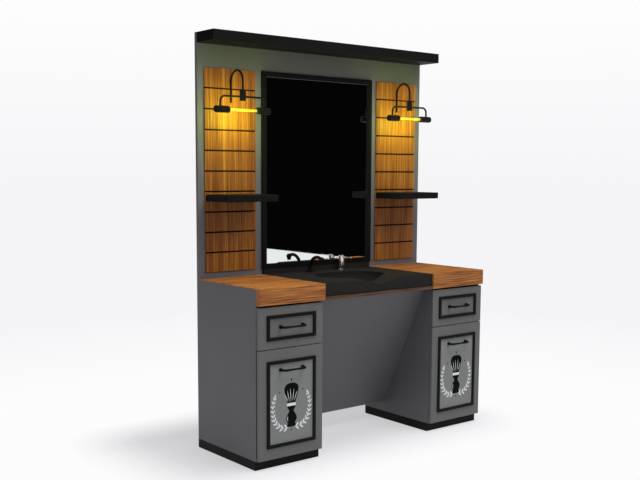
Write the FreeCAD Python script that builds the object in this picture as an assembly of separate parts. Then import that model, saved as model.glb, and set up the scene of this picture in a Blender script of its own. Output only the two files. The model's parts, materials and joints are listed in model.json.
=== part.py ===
import FreeCAD, Part
import math
import os

os.makedirs("parts", exist_ok=True)
V = FreeCAD.Vector

# A salon work station: a tall back panel on two pedestals, a basin between them, a framed
# mirror with a slatted wood panel and a lamp each side, two side shelves and a top cornice.
# Millimetres. X runs to the right, the working side faces -Y, and Z is up from the floor.
# The origin is on the floor under the centre of the whole station. Depths are counted
# forward from the front face of the back panel.

# Overall
WIDTH = 1490.0
HEIGHT = 2035.0
PANEL_T = 18.0
BOARD_T = 18.0
CARCASS_DEPTH = 486.0
EDGE_EASE = 0.8

# Cornice
CORNICE_DEPTH = 150.0
CORNICE_T = 50.0
CORNICE_EASE = 1.5

# Pedestals
PEDESTAL_W = 375.0
PLINTH_H = 44.0
PLINTH_SETBACK = 9.0
PLINTH_T = 16.0

# Worktop
COUNTER_Z = 850.0
COUNTER_DROP = 78.0
COUNTER_INNER_OVERHANG = 7.0
TOP_T = 22.0
TOP_LIP = 4.0
FASCIA_T = 30.0
BEARER_T = 14.0

# Drawer fronts and doors
FRONT_T = 18.0
FRONT_STANDOFF = 2.0
FRONT_SIDE_GAP = 1.5
FRONT_TOP_GAP = 10.0
FRONT_MID_GAP = 3.5
DOOR_FLOOR_GAP = 3.0
DRAWER_FRONT_H = 194.5
TRIM_BAR = 15.0
TRIM_PROUD = 8.0
TRIM_SIDE_MARGIN = 44.5
DRAWER_TRIM_MARGIN = 38.5
DOOR_TRIM_MARGIN = 54.0
TRIM_EASE = 2.0

# Handles
HANDLE_CENTRES = 128.0
HANDLE_R = 6.0
HANDLE_WAIST_R = 4.5
HANDLE_FOOT_R = 8.5
HANDLE_FOOT_T = 8.0
HANDLE_REACH = 38.0
HANDLE_BEND_R = 16.0
DRAWER_HANDLE_RISE = 2.0
DOOR_HANDLE_DROP = 44.0
HANDLE_SCREW_R = 2.0
HANDLE_SCREW_SINK = 12.0

# Drawer boxes and their slides
BOX_SIDE_T = 12.0
BOX_BOTTOM_T = 5.0
BOX_BOTTOM_RISE = 8.0
BOX_H = 126.0
BOX_LENGTH = 440.0
BOX_FLOOR_GAP = 16.0
SLIDE_GAP = 12.7
SLIDE_LENGTH = 430.0
SLIDE_H = 42.0
SLIDE_SHEET = 1.4
SLIDE_LIP_REACH = 9.0
SLIDE_BAR_H = 26.0
SLIDE_BAR_GAP = 0.8

# Continuous door hinge
HINGE_LEAF_T = 0.8
HINGE_LEAF_W = 15.0
HINGE_KNUCKLE_R = 2.4
HINGE_PIN_R = 1.2
HINGE_PIN_PLAY = 0.05
HINGE_KNUCKLE_PITCH = 36.0
HINGE_KNUCKLE_GAP = 0.4
HINGE_END_MARGIN = 10.0

# Kneehole
KNEE_TOP_DEPTH = 447.0
KNEE_FOOT_DEPTH = 136.0
KNEE_FOOT_Z = 99.0
SERVICE_DROP = 160.0

# Basin
BASIN_SETBACK = 9.0
BASIN_SIDE_GAP = 0.5
BASIN_SKIN = 12.0
BASIN_EASE = 2.0
BOWL_HALF_X = 200.0
BOWL_HALF_Y = 145.0
BOWL_CENTRE_DEPTH = 268.0
BOWL_DEEP = 128.0
BOWL_FLAT = 0.3
BOWL_SKIN = 8.0
SCOOP_W = 210.0
SCOOP_DEEP = 24.5
UPSTAND_T = 12.0
UPSTAND_GAP = 0.5
BEARER_CUT_GAP = 12.0
TAP_DEPTH = 46.0
SPOUT_X = -89.0
MIXER_X = 127.0
TAP_HOLE_R = 16.0

# Waste
WASTE_R = 31.0
WASTE_FLANGE_T = 3.0
WASTE_SEAT = 0.3
WASTE_TAIL_R = 16.0
WASTE_BORE_R = 14.0
WASTE_TAIL_LENGTH = 62.0
PLUG_R = 29.0
PLUG_T = 5.0
PLUG_STEM_R = 1.8
PLUG_STEM_PLAY = 0.05
PLUG_STEM_LENGTH = 34.0
PLUG_LIFT_GAP = 0.4
STRAINER_T = 3.0
STRAINER_HOLE_R = 1.8
STRAINER_HOLES = 9
STRAINER_RING_R = 9.0
TRAP_R = 29.0
TRAP_H = 118.0
TRAP_COLLAR_R = 22.0
TRAP_COLLAR_H = 22.0
TRAP_OUTLET_DROP = 34.0
TRAP_NUT_R = 21.0
TRAP_NUT_LENGTH = 18.0

# Mixer and spout
MIXER_BASE_R = 22.0
MIXER_BASE_T = 4.0
MIXER_R = 17.0
MIXER_H = 56.0
MIXER_CAP_R = 18.0
MIXER_CAP_H = 18.0
MIXER_NECK_R = 8.0
MIXER_NECK_H = 8.0
MIXER_PLAY = 0.05
MIXER_CAP_ROOF_GAP = 0.4
LEVER_LENGTH = 66.0
LEVER_W = 9.0
LEVER_T = 5.0
LEVER_PIN_R = 2.5
LEVER_SLOT_W = 10.0
LEVER_TAIL = 7.0
LEVER_TIP_FLAT = 0.4
TAIL_PIPE_R = 4.0
TAIL_SPREAD = 16.0
TAIL_SETBACK = 5.0
TAIL_DROP = 200.0
TAIL_BEND_R = 22.0
CROSS_PIPE_SETFORWARD = 9.0
CROSS_PIPE_DROP = 32.0
CROSS_PIPE_BEND_R = 16.0
SHANK_LENGTH = 92.0
SPOUT_R = 8.5
SPOUT_COLLAR_R = 19.0
SPOUT_COLLAR_H = 7.0
SPOUT_STEM_R = 10.0
SPOUT_STEM_PLAY = 0.05
SPOUT_RISE = 11.0
SPOUT_ARC_R = 63.5
SPOUT_SWEEP = 125.0
SPOUT_HEAD_R = 14.5
SPOUT_LIP_R = 10.5
SPOUT_LIP_T = 4.0

# Slatted wood panels
SLAT_COUNT = 10
SLAT_GROOVE = 8.0
SLAT_W = 300.0
SLAT_T = 6.0
SLAT_EASE = 0.6

# Mirror
MIRROR_RISE = 27.0
MIRROR_HEAD_GAP = 108.0
MIRROR_SIDE_GAP = 37.5
FRAME_BAR = 26.5
FRAME_PROUD = 12.5
FRAME_EASE = 1.0
GLASS_T = 4.0
GLASS_REBATE = 8.0
GLASS_PLAY = 0.3

# Side shelves
SHELF_W = 292.0
SHELF_FRONT = 206.0
SHELF_T = 33.5
SHELF_RISE = 413.5

# Wall screws
SCREW_R = 2.5
SCREW_HEAD_R = 5.0
SCREW_HEAD_T = 3.0
SCREW_BITE = 40.0
CORNICE_SCREWS = 5
CORNICE_SCREW_MARGIN = 90.0
SHELF_SCREW_SPACING = 180.0

# Lamps
LAMP_PIPE_R = 5.0
LAMP_REACH = 114.0
LAMP_CREST_DROP = 13.0
LAMP_LEG = 154.0
LAMP_STAND = 0.3
STUB_R = 3.0
STUB_BITE = 12.0
STUB_MARGIN = 20.0
KNUCKLE_R = 15.0
KNUCKLE_H = 55.0
KNUCKLE_DROP = 95.0
KNUCKLE_EASE = 2.5
KNUCKLE_SINK = 16.0
KNUCKLE_PLAY = 0.05
LAMP_BAR_DROP = 35.0
LAMP_BAR_HALF = 129.0
LAMP_BAR_BEND = 27.0
HOLDER_DROP = 63.5
HOLDER_HALF = 119.5
HOLDER_LENGTH = 83.0
HOLDER_R = 16.5
HOLDER_NOSE = 8.0
HOLDER_PIPE_SINK = 7.0
LAMP_TUBE_R = 6.5
LAMP_TUBE_SINK = 18.0
LAMP_TUBE_PLAY = 0.3

# Worked out from the above
FRONT_BACK_DEPTH = CARCASS_DEPTH + FRONT_STANDOFF
FRONT_FACE_DEPTH = FRONT_BACK_DEPTH + FRONT_T
OVERALL_DEPTH = PANEL_T + FRONT_FACE_DEPTH + HANDLE_REACH
FACE_Y = OVERALL_DEPTH / 2 - PANEL_T
HALF = WIDTH / 2
PEDESTAL_IN = HALF - PEDESTAL_W
COLUMN_X = HALF - PEDESTAL_W / 2
COUNTER_IN = PEDESTAL_IN - COUNTER_INNER_OVERHANG
FASCIA_FACE = CARCASS_DEPTH + FASCIA_T
COUNTER_UNDER = COUNTER_Z - COUNTER_DROP
BEARER_TOP = COUNTER_UNDER + BEARER_T
SERVICE_TOP_Z = COUNTER_Z - SERVICE_DROP
TAIL_DROP_Z = COUNTER_Z - TAIL_DROP
SHELF_TOP_Z = COUNTER_Z + SHELF_RISE
MIRROR_Z = COUNTER_Z + MIRROR_RISE
MIRROR_TOP_Z = HEIGHT - CORNICE_T - MIRROR_HEAD_GAP
MIRROR_HALF = COLUMN_X - SLAT_W / 2 - MIRROR_SIDE_GAP
SLAT_PITCH = (MIRROR_TOP_Z - MIRROR_Z) / SLAT_COUNT
LAMP_CREST_Z = MIRROR_TOP_Z - LAMP_CREST_DROP
LAMP_FOOT_Z = LAMP_CREST_Z - LAMP_LEG
KNUCKLE_TOP_Z = LAMP_CREST_Z - KNUCKLE_DROP
LAMP_BAR_Z = KNUCKLE_TOP_Z - LAMP_BAR_DROP
HOLDER_Z = LAMP_BAR_Z - HOLDER_DROP
TOP_UNDER = COUNTER_Z - TOP_T
LIP_UNDER = COUNTER_Z - TOP_LIP
DRAWER_TOP = COUNTER_UNDER - FRONT_TOP_GAP
DRAWER_FOOT = DRAWER_TOP - DRAWER_FRONT_H
DOOR_TOP = DRAWER_FOOT - FRONT_MID_GAP
DOOR_FOOT = PLINTH_H + DOOR_FLOOR_GAP
DIVIDER_TOP = (DRAWER_FOOT + DOOR_TOP) / 2 + BOARD_T / 2
DIVIDER_FOOT = DIVIDER_TOP - BOARD_T
SIDES = (("left", -1), ("right", 1))


def save(node, *solids):
    """Writes one node's solids to its STEP file."""
    shape = solids[0] if len(solids) == 1 else Part.makeCompound(list(solids))
    shape.exportStep("parts/" + node + ".step")


def at(x, depth, z):
    """A point at a depth forward of the back panel's front face."""
    return V(x, FACE_Y - depth, z)


def slab(x, depth, z):
    """A square-edged board between two x, two depths and two heights."""
    corner = at(min(x), max(depth), min(z))
    return Part.makeBox(abs(x[1] - x[0]), abs(depth[1] - depth[0]), abs(z[1] - z[0]), corner)


def eased(shape, radius):
    """The shape with all its edges rounded over."""
    return shape.makeFillet(radius, shape.Edges)


def board(x, depth, z, ease=EDGE_EASE):
    """A board with a small flat taken off every edge."""
    shape = slab(x, depth, z)
    return shape.makeChamfer(ease, shape.Edges)


def rod(radius, start, end):
    """A round bar from one point to another."""
    return Part.makeCylinder(radius, (end - start).Length, start, end - start)


def bend(radius, start, way, centre, degrees):
    """A round bar that leaves a start point along a direction and bends about a centre."""
    ring = Part.Face(Part.Wire([Part.makeCircle(radius, start, way)]))
    return ring.revolve(centre, (start - centre).cross(way), degrees)


def bent_rod(radius, bend_r, points):
    """A round bar along straight runs that are joined by bends of one radius."""
    pieces = []
    last = points[0]
    for before, corner, after in zip(points, points[1:], points[2:]):
        back = (before - corner).normalize()
        ahead = (after - corner).normalize()
        half_angle = back.getAngle(ahead) / 2
        reach = bend_r / math.tan(half_angle)
        start = corner + back * reach
        centre = corner + (back + ahead).normalize() * (bend_r / math.sin(half_angle))
        if (start - last).Length > EDGE_EASE:
            pieces.append(rod(radius, last, start))
        pieces.append(bend(radius, start, -back, centre, 180 - 2 * math.degrees(half_angle)))
        last = corner + ahead * reach
    if (points[-1] - last).Length > EDGE_EASE:
        pieces.append(rod(radius, last, points[-1]))
    return pieces[0].fuse(pieces[1:]).removeSplitter()


def mitred_ring(x, z, depth, bar, ease):
    """Four mitred bars round a rectangle, as separate solids."""
    bars = []
    corners = [(min(x), min(z)), (max(x), min(z)), (max(x), max(z)), (min(x), max(z))]
    inner = [
        (min(x) + bar, min(z) + bar),
        (max(x) - bar, min(z) + bar),
        (max(x) - bar, max(z) - bar),
        (min(x) + bar, max(z) - bar),
    ]
    body = slab(x, depth, z).cut(
        slab((inner[0][0], inner[1][0]), (depth[0] - 1, depth[1] + 1), (inner[0][1], inner[2][1]))
    )
    front_y = FACE_Y - max(depth)
    rims = [
        edge
        for edge in body.Edges
        if abs(edge.BoundBox.YMin - front_y) < 0.01 and abs(edge.BoundBox.YMax - front_y) < 0.01
    ]
    body = body.makeFillet(ease, rims)
    for first, second in ((0, 1), (1, 2), (2, 3), (3, 0)):
        outline = [corners[first], corners[second], inner[second], inner[first]]
        points = [at(px, max(depth) + 1, pz) for px, pz in outline]
        wedge = Part.Face(Part.makePolygon(points + points[:1]))
        wedge = wedge.extrude(V(0, max(depth) - min(depth) + 2, 0))
        bars.append(body.common(wedge).Solids[0])
    return bars


# Back panel -------------------------------------------------------------------------------


def screw_places():
    """Where each wall screw crosses the back panel's front face."""
    cornice_z = HEIGHT - CORNICE_T / 2
    span = WIDTH - 2 * CORNICE_SCREW_MARGIN
    places = []
    for index in range(CORNICE_SCREWS):
        places.append((-span / 2 + span * index / (CORNICE_SCREWS - 1), cornice_z, 0.0))
    for _, sign in SIDES:
        for step in (-0.5, 0.5):
            x = sign * COLUMN_X + step * SHELF_SCREW_SPACING
            places.append((x, SHELF_TOP_Z - SHELF_T / 2, SLAT_T))
    return places


def wall_screw(x, z, seat):
    """A countersunk screw from the back face into what hangs on the panel at a seat depth."""
    head = Part.makeCone(SCREW_HEAD_R, SCREW_R, SCREW_HEAD_T, at(x, -PANEL_T, z), V(0, -1, 0))
    shank = rod(SCREW_R, at(x, -PANEL_T + SCREW_HEAD_T, z), at(x, seat + SCREW_BITE, z))
    return head.fuse(shank).removeSplitter()


WALL_SCREWS = [wall_screw(*place) for place in screw_places()]


def drilled(shape, tools):
    """The shape with the room for each tool that meets it cut out."""
    for tool in tools:
        if shape.BoundBox.intersect(tool.BoundBox):
            shape = shape.cut(tool)
    return shape


def lamp_stubs(sign):
    """The two threaded stubs that hold a lamp arm to the panel."""
    x = sign * COLUMN_X
    depth = SLAT_T + LAMP_STAND + LAMP_PIPE_R
    arc_z = LAMP_CREST_Z - (LAMP_REACH - depth) / 2
    return [
        rod(STUB_R, at(x, -STUB_BITE, z), at(x, depth, z))
        for z in (LAMP_FOOT_Z + STUB_MARGIN, arc_z - STUB_MARGIN)
    ]


LAMP_STUBS = lamp_stubs(-1) + lamp_stubs(1)


def back_panel():
    """The tall board, cut away behind the kneehole so that the services reach the wall."""
    whole = slab((-HALF, HALF), (-PANEL_T, 0), (PLINTH_H, HEIGHT))
    gap = slab((-PEDESTAL_IN, PEDESTAL_IN), (-PANEL_T - 1, 1), (PLINTH_H - 1, SERVICE_TOP_Z))
    return drilled(whole.cut(gap), WALL_SCREWS + LAMP_STUBS)


def cornice():
    """The thick shelf across the top."""
    shape = board((-HALF, HALF), (0, CORNICE_DEPTH), (HEIGHT - CORNICE_T, HEIGHT), CORNICE_EASE)
    return drilled(shape, WALL_SCREWS)


save("back_panel", back_panel())
save("cornice", cornice())
save("wall_screws", *WALL_SCREWS)


# Slatted wood panels and side shelves -----------------------------------------------------


def slats(sign):
    """One column of horizontal boards, lowest first."""
    x = (sign * COLUMN_X - SLAT_W / 2, sign * COLUMN_X + SLAT_W / 2)
    boards = []
    for index in range(SLAT_COUNT):
        foot = MIRROR_Z + index * SLAT_PITCH + SLAT_GROOVE / 2
        z = (foot, foot + SLAT_PITCH - SLAT_GROOVE)
        shape = board(x, (0, SLAT_T), z, SLAT_EASE)
        boards.append(drilled(shape, WALL_SCREWS + LAMP_STUBS))
    return boards


def side_shelf(sign):
    """A thick shelf held by two screws through the back panel."""
    x = (sign * COLUMN_X - SHELF_W / 2, sign * COLUMN_X + SHELF_W / 2)
    z = (SHELF_TOP_Z - SHELF_T, SHELF_TOP_Z)
    return drilled(board(x, (SLAT_T, SHELF_FRONT), z, CORNICE_EASE), WALL_SCREWS)


for side, sign in SIDES:
    save("wood_slats_" + side, *slats(sign))
    save("side_shelf_" + side, side_shelf(sign))


# Mirror -----------------------------------------------------------------------------------


def mirror_frame():
    """Four mitred bars, rebated at the back for the glass."""
    x = (-MIRROR_HALF, MIRROR_HALF)
    z = (MIRROR_Z, MIRROR_TOP_Z)
    rebate = mirror_glass(GLASS_PLAY)
    return [
        bar.cut(rebate) for bar in mitred_ring(x, z, (0, FRAME_PROUD), FRAME_BAR, FRAME_EASE)
    ]


def mirror_glass(play=0.0):
    """The sheet behind the frame's rebate, grown by a play where it cuts that rebate."""
    reach = FRAME_BAR - GLASS_REBATE - play
    x = (-MIRROR_HALF + reach, MIRROR_HALF - reach)
    z = (MIRROR_Z + reach, MIRROR_TOP_Z - reach)
    return slab(x, (-play, GLASS_T + play), z)


save("mirror_frame", *mirror_frame())
save("mirror_glass", mirror_glass())


# Pedestals --------------------------------------------------------------------------------


def hinge_room(sign):
    """What the knuckles need cut out of the boards beside them."""
    axis_x = sign * (HALF - HINGE_KNUCKLE_R)
    axis_depth = CARCASS_DEPTH + FRONT_STANDOFF / 2
    radius = HINGE_KNUCKLE_R + HINGE_KNUCKLE_GAP
    return rod(radius, at(axis_x, axis_depth, DOOR_FOOT), at(axis_x, axis_depth, DOOR_TOP))


def pedestal(side, sign):
    """The fixed boards of one pedestal."""
    outer = (sign * HALF, sign * (HALF - BOARD_T))
    inner = (sign * PEDESTAL_IN, sign * (PEDESTAL_IN + BOARD_T))
    bay = (outer[1], inner[1])
    depth = (0, CARCASS_DEPTH)
    outer_side = slab(outer, depth, (PLINTH_H, LIP_UNDER)).cut(hinge_room(sign))
    save("pedestal_side_outer_" + side, outer_side)
    save("pedestal_side_inner_" + side, slab(inner, depth, (PLINTH_H, TOP_UNDER)))
    save("pedestal_bottom_" + side, slab(bay, depth, (PLINTH_H, PLINTH_H + BOARD_T)))
    save("pedestal_divider_" + side, slab(bay, depth, (DIVIDER_FOOT, DIVIDER_TOP)))


def plinth(sign):
    """Four boards on the floor under a pedestal and under the back panel."""
    z = (0, PLINTH_H)
    face = CARCASS_DEPTH - PLINTH_SETBACK
    outer, inner = sign * HALF, sign * PEDESTAL_IN
    step = sign * PLINTH_T
    run = (-PANEL_T, face - PLINTH_T)
    bay = (outer - step, inner + step)
    return [
        slab((outer, inner), (face - PLINTH_T, face), z),
        slab((outer, outer - step), run, z),
        slab((inner, inner + step), run, z),
        slab(bay, (-PANEL_T, -PANEL_T + PLINTH_T), z),
    ]


for side, sign in SIDES:
    pedestal(side, sign)
    save("plinth_" + side, *plinth(sign))


# Worktop ----------------------------------------------------------------------------------


def counter_top(sign):
    """A board with a thin lip over the outer side and over the fascia."""
    outer, inner = sign * HALF, sign * COUNTER_IN
    core = slab((outer - sign * BOARD_T, inner), (0, CARCASS_DEPTH), (TOP_UNDER, COUNTER_Z))
    skin = slab((outer, inner), (0, FASCIA_FACE), (LIP_UNDER, COUNTER_Z))
    return core.fuse(skin).removeSplitter()


def counter_fascia(sign):
    """The deep front board under the lip."""
    x = (sign * HALF, sign * COUNTER_IN)
    return slab(x, (CARCASS_DEPTH, FASCIA_FACE), (COUNTER_UNDER, LIP_UNDER))


def bowl_sections(grow):
    """Ellipses that the bowl is lofted through, from the deck down to its flat floor."""
    sections = []
    steps = 6
    floor_z = COUNTER_Z - BOWL_DEEP - grow
    for index in range(steps + 1):
        turn = index / steps * math.pi / 2
        wide = BOWL_FLAT + (1 - BOWL_FLAT) * math.cos(turn)
        z = COUNTER_Z - (COUNTER_Z - floor_z) * math.sin(turn)
        centre = at(0, BOWL_CENTRE_DEPTH, z)
        ellipse = Part.Ellipse(centre, BOWL_HALF_X * wide + grow, BOWL_HALF_Y * wide + grow)
        sections.append(Part.Wire([ellipse.toShape()]))
    return sections


def bowl_solid(grow):
    """The room inside the bowl, or the bowl's outside when grown by its skin."""
    return Part.makeLoft(bowl_sections(grow), True, False)


def scoop_solid(grow):
    """A round bar along the depth that leaves the neck recess in the front rim."""
    half = SCOOP_W / 2
    radius = (half * half + SCOOP_DEEP * SCOOP_DEEP) / (2 * SCOOP_DEEP)
    z = COUNTER_Z + radius - SCOOP_DEEP
    front = FASCIA_FACE - BASIN_SETBACK
    return rod(radius + grow, at(0, front + 1, z), at(0, BOWL_CENTRE_DEPTH, z))


def basin():
    """A cast basin: a skin with deep edges, a bowl, a neck recess and an upstand."""
    half = COUNTER_IN - BASIN_SIDE_GAP
    front = FASCIA_FACE - BASIN_SETBACK
    block = slab((-half, half), (0, front), (BEARER_TOP, COUNTER_Z))
    room = slab(
        (-half + BASIN_SKIN, half - BASIN_SKIN),
        (BASIN_SKIN, front - BASIN_SKIN),
        (BEARER_TOP - 1, COUNTER_Z - BASIN_SKIN),
    )
    front_edges = [
        edge
        for edge in block.Edges
        if edge.BoundBox.YMax < FACE_Y - front + 0.01 and edge.BoundBox.ZMax > BEARER_TOP + 0.01
    ]
    block = block.makeFillet(BASIN_EASE, front_edges)
    shell = block.cut(room)
    shell = shell.fuse(bowl_solid(BOWL_SKIN)).fuse(block.common(scoop_solid(BASIN_SKIN)))
    upstand_z = (COUNTER_Z, MIRROR_Z - UPSTAND_GAP)
    shell = shell.fuse(slab((-half, half), (0, UPSTAND_T), upstand_z))
    shell = shell.cut(bowl_solid(0)).cut(scoop_solid(0))
    deck_z = (COUNTER_Z - 2 * BASIN_SKIN, COUNTER_Z + 1)
    for x in (SPOUT_X, MIXER_X):
        shell = shell.cut(rod(TAP_HOLE_R, at(x, TAP_DEPTH, deck_z[0]), at(x, TAP_DEPTH, deck_z[1])))
    floor_z = COUNTER_Z - BOWL_DEEP
    hole = rod(
        WASTE_TAIL_R + WASTE_SEAT,
        at(0, BOWL_CENTRE_DEPTH, floor_z - 2 * BOWL_SKIN),
        at(0, BOWL_CENTRE_DEPTH, floor_z + 1),
    )
    return shell.cut(hole)


def basin_bearer():
    """The board that carries the basin, with its front edge flush with the fascias."""
    z = (COUNTER_UNDER, BEARER_TOP)
    plate = slab((-PEDESTAL_IN, PEDESTAL_IN), (0, CARCASS_DEPTH), z)
    plate = plate.fuse(slab((-COUNTER_IN, COUNTER_IN), (0, FASCIA_FACE), z)).removeSplitter()
    half_x = BOWL_HALF_X + BOWL_SKIN + BEARER_CUT_GAP
    half_y = BOWL_HALF_Y + BOWL_SKIN + BEARER_CUT_GAP
    depth = (BOWL_CENTRE_DEPTH - half_y, BOWL_CENTRE_DEPTH + half_y)
    taps = [
        rod(TAP_HOLE_R + TAIL_SPREAD / 2, at(x, TAP_DEPTH, z[0] - 1), at(x, TAP_DEPTH, z[1] + 1))
        for x in (SPOUT_X, MIXER_X)
    ]
    return drilled(plate.cut(slab((-half_x, half_x), depth, (z[0] - 1, z[1] + 1))), taps)


def kneehole_panel():
    """The sloped board between the pedestals, from the bearer back to near the floor."""
    run = V(0, KNEE_FOOT_DEPTH - KNEE_TOP_DEPTH, KNEE_FOOT_Z - COUNTER_UNDER)
    along = V(run).normalize()
    inward = V(0, along.z, -along.y)
    foot_in = KNEE_FOOT_DEPTH + inward.y * BOARD_T
    foot_in_z = KNEE_FOOT_Z + inward.z * BOARD_T
    top_in = foot_in + (COUNTER_UNDER - foot_in_z) * along.y / along.z
    outline = [
        at(-PEDESTAL_IN, KNEE_TOP_DEPTH, COUNTER_UNDER),
        at(-PEDESTAL_IN, KNEE_FOOT_DEPTH, KNEE_FOOT_Z),
        at(-PEDESTAL_IN, foot_in, foot_in_z),
        at(-PEDESTAL_IN, top_in, COUNTER_UNDER),
    ]
    return Part.Face(Part.makePolygon(outline + outline[:1])).extrude(V(2 * PEDESTAL_IN, 0, 0))


for side, sign in SIDES:
    save("counter_top_" + side, counter_top(sign))
    save("counter_fascia_" + side, counter_fascia(sign))
save("basin", basin())
save("basin_bearer", basin_bearer())
save("kneehole_panel", kneehole_panel())


# Waste ------------------------------------------------------------------------------------

BOWL_FLOOR_Z = COUNTER_Z - BOWL_DEEP
TAIL_FOOT_Z = BOWL_FLOOR_Z - WASTE_TAIL_LENGTH
TRAP_TOP_Z = TAIL_FOOT_Z + TRAP_COLLAR_H / 2
TRAP_OUTLET_Z = TRAP_TOP_Z - TRAP_COLLAR_H - TRAP_OUTLET_DROP


def down_the_waste(z):
    """A point on the waste's axis."""
    return at(0, BOWL_CENTRE_DEPTH, z)


def basin_waste():
    """Flange, tail and a hair strainer whose centre guides the plug's stem."""
    flange_top = BOWL_FLOOR_Z + WASTE_FLANGE_T
    flange = rod(WASTE_R, down_the_waste(BOWL_FLOOR_Z), down_the_waste(flange_top))
    tail = rod(WASTE_TAIL_R, down_the_waste(TAIL_FOOT_Z), down_the_waste(BOWL_FLOOR_Z))
    bore = rod(WASTE_BORE_R, down_the_waste(TAIL_FOOT_Z - 1), down_the_waste(flange_top + 1))
    body = flange.fuse(tail).cut(bore)
    top = BOWL_FLOOR_Z - PLUG_STEM_LENGTH / 2
    foot = top - STRAINER_T
    body = body.fuse(rod(WASTE_TAIL_R, down_the_waste(foot), down_the_waste(top)))
    guide = rod(PLUG_STEM_R + PLUG_STEM_PLAY, down_the_waste(foot - 1), down_the_waste(top + 1))
    for index in range(STRAINER_HOLES):
        turn = 2 * math.pi * index / STRAINER_HOLES
        aside = V(STRAINER_RING_R * math.cos(turn), STRAINER_RING_R * math.sin(turn), 0)
        guide = guide.fuse(
            rod(STRAINER_HOLE_R, down_the_waste(foot - 1) + aside, down_the_waste(top + 1) + aside)
        )
    return body.cut(guide).removeSplitter()


def waste_plug():
    """A round-edged plate on a stem, resting just clear of the flange."""
    foot = BOWL_FLOOR_Z + WASTE_FLANGE_T + PLUG_LIFT_GAP
    plate = rod(PLUG_R, down_the_waste(foot), down_the_waste(foot + PLUG_T))
    rim = [edge for edge in plate.Edges if edge.BoundBox.ZMin > foot + PLUG_T - 0.01]
    plate = plate.makeFillet(PLUG_T / 3, rim)
    stem_foot = BOWL_FLOOR_Z - PLUG_STEM_LENGTH
    return plate.fuse(rod(PLUG_STEM_R, down_the_waste(stem_foot), down_the_waste(foot)))


def bottle_trap():
    """A bottle trap on the tail, with its outlet pipe back to the wall line."""
    collar_foot = TRAP_TOP_Z - TRAP_COLLAR_H
    collar = rod(TRAP_COLLAR_R, down_the_waste(collar_foot), down_the_waste(TRAP_TOP_Z))
    bottle = rod(TRAP_R, down_the_waste(collar_foot - TRAP_H), down_the_waste(collar_foot))
    foot = [edge for edge in bottle.Edges if edge.BoundBox.ZMax < collar_foot - TRAP_H + 0.01]
    bottle = bottle.makeFillet(TRAP_R / 4, foot)
    outlet = rod(
        WASTE_TAIL_R,
        at(0, BOWL_CENTRE_DEPTH, TRAP_OUTLET_Z),
        at(0, -PANEL_T, TRAP_OUTLET_Z),
    )
    bore = rod(
        WASTE_BORE_R,
        at(0, BOWL_CENTRE_DEPTH, TRAP_OUTLET_Z),
        at(0, -PANEL_T - 1, TRAP_OUTLET_Z),
    )
    seat = rod(WASTE_TAIL_R, down_the_waste(TAIL_FOOT_Z), down_the_waste(TRAP_TOP_Z + 1))
    throat = rod(WASTE_BORE_R, down_the_waste(TRAP_OUTLET_Z), down_the_waste(TRAP_TOP_Z + 1))
    nut = rod(
        TRAP_NUT_R,
        at(0, BOWL_CENTRE_DEPTH, TRAP_OUTLET_Z),
        at(0, BOWL_CENTRE_DEPTH - TRAP_R - TRAP_NUT_LENGTH, TRAP_OUTLET_Z),
    )
    body = collar.fuse([bottle, outlet, nut])
    return body.cut(seat).cut(throat).cut(bore).removeSplitter()


save("basin_waste", basin_waste(), bottle_trap())
save("waste_plug", waste_plug())


# Mixer and spout --------------------------------------------------------------------------

MIXER_TOP_Z = COUNTER_Z + MIXER_BASE_T + MIXER_H
LEVER_Z = MIXER_TOP_Z + MIXER_PLAY + MIXER_CAP_H / 2


def over_mixer(z):
    """A point on the mixer's axis."""
    return at(MIXER_X, TAP_DEPTH, z)


def mixer_body():
    """Base ring, turned body, neck for the cap and the threaded shank below the deck."""
    base_top = COUNTER_Z + MIXER_BASE_T
    base = rod(MIXER_BASE_R, over_mixer(COUNTER_Z), over_mixer(base_top))
    rim = [edge for edge in base.Edges if edge.BoundBox.ZMin > base_top - 0.01]
    base = base.makeFillet(MIXER_BASE_T / 2, rim)
    tube = rod(MIXER_R, over_mixer(base_top), over_mixer(MIXER_TOP_Z))
    neck = rod(MIXER_NECK_R, over_mixer(MIXER_TOP_Z), over_mixer(MIXER_TOP_Z + MIXER_NECK_H))
    shank_foot = COUNTER_Z - SHANK_LENGTH
    shank = rod(TAP_HOLE_R - 1, over_mixer(shank_foot), over_mixer(COUNTER_Z))
    return base.fuse([tube, neck, shank]).removeSplitter()


def mixer_cap():
    """The turning cap, slotted at the front for the lever."""
    foot = MIXER_TOP_Z + MIXER_PLAY
    cap = rod(MIXER_CAP_R, over_mixer(foot), over_mixer(foot + MIXER_CAP_H))
    rim = [edge for edge in cap.Edges if edge.BoundBox.ZMin > foot + MIXER_CAP_H - 0.01]
    cap = cap.makeFillet(MIXER_CAP_H / 4, rim)
    roof_z = MIXER_TOP_Z + MIXER_NECK_H + MIXER_CAP_ROOF_GAP
    neck_room = rod(MIXER_NECK_R + MIXER_PLAY, over_mixer(foot - 1), over_mixer(roof_z))
    slot_depth = (TAP_DEPTH + MIXER_NECK_R + 1, TAP_DEPTH + MIXER_CAP_R + 1)
    slot_x = (MIXER_X - LEVER_SLOT_W / 2, MIXER_X + LEVER_SLOT_W / 2)
    slot = slab(slot_x, slot_depth, (foot - 1, foot + MIXER_CAP_H + 1))
    return cap.cut(neck_room).cut(slot).cut(lever_pin(MIXER_PLAY))


def lever_pin(play=0.0):
    """The lever's cross pin, through both cheeks of the cap's slot."""
    depth = TAP_DEPTH + MIXER_CAP_R - LEVER_TAIL / 2
    half = LEVER_SLOT_W / 2 + LEVER_PIN_R + play
    start = at(MIXER_X - half, depth, LEVER_Z)
    return rod(LEVER_PIN_R + play, start, at(MIXER_X + half, depth, LEVER_Z))


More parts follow.
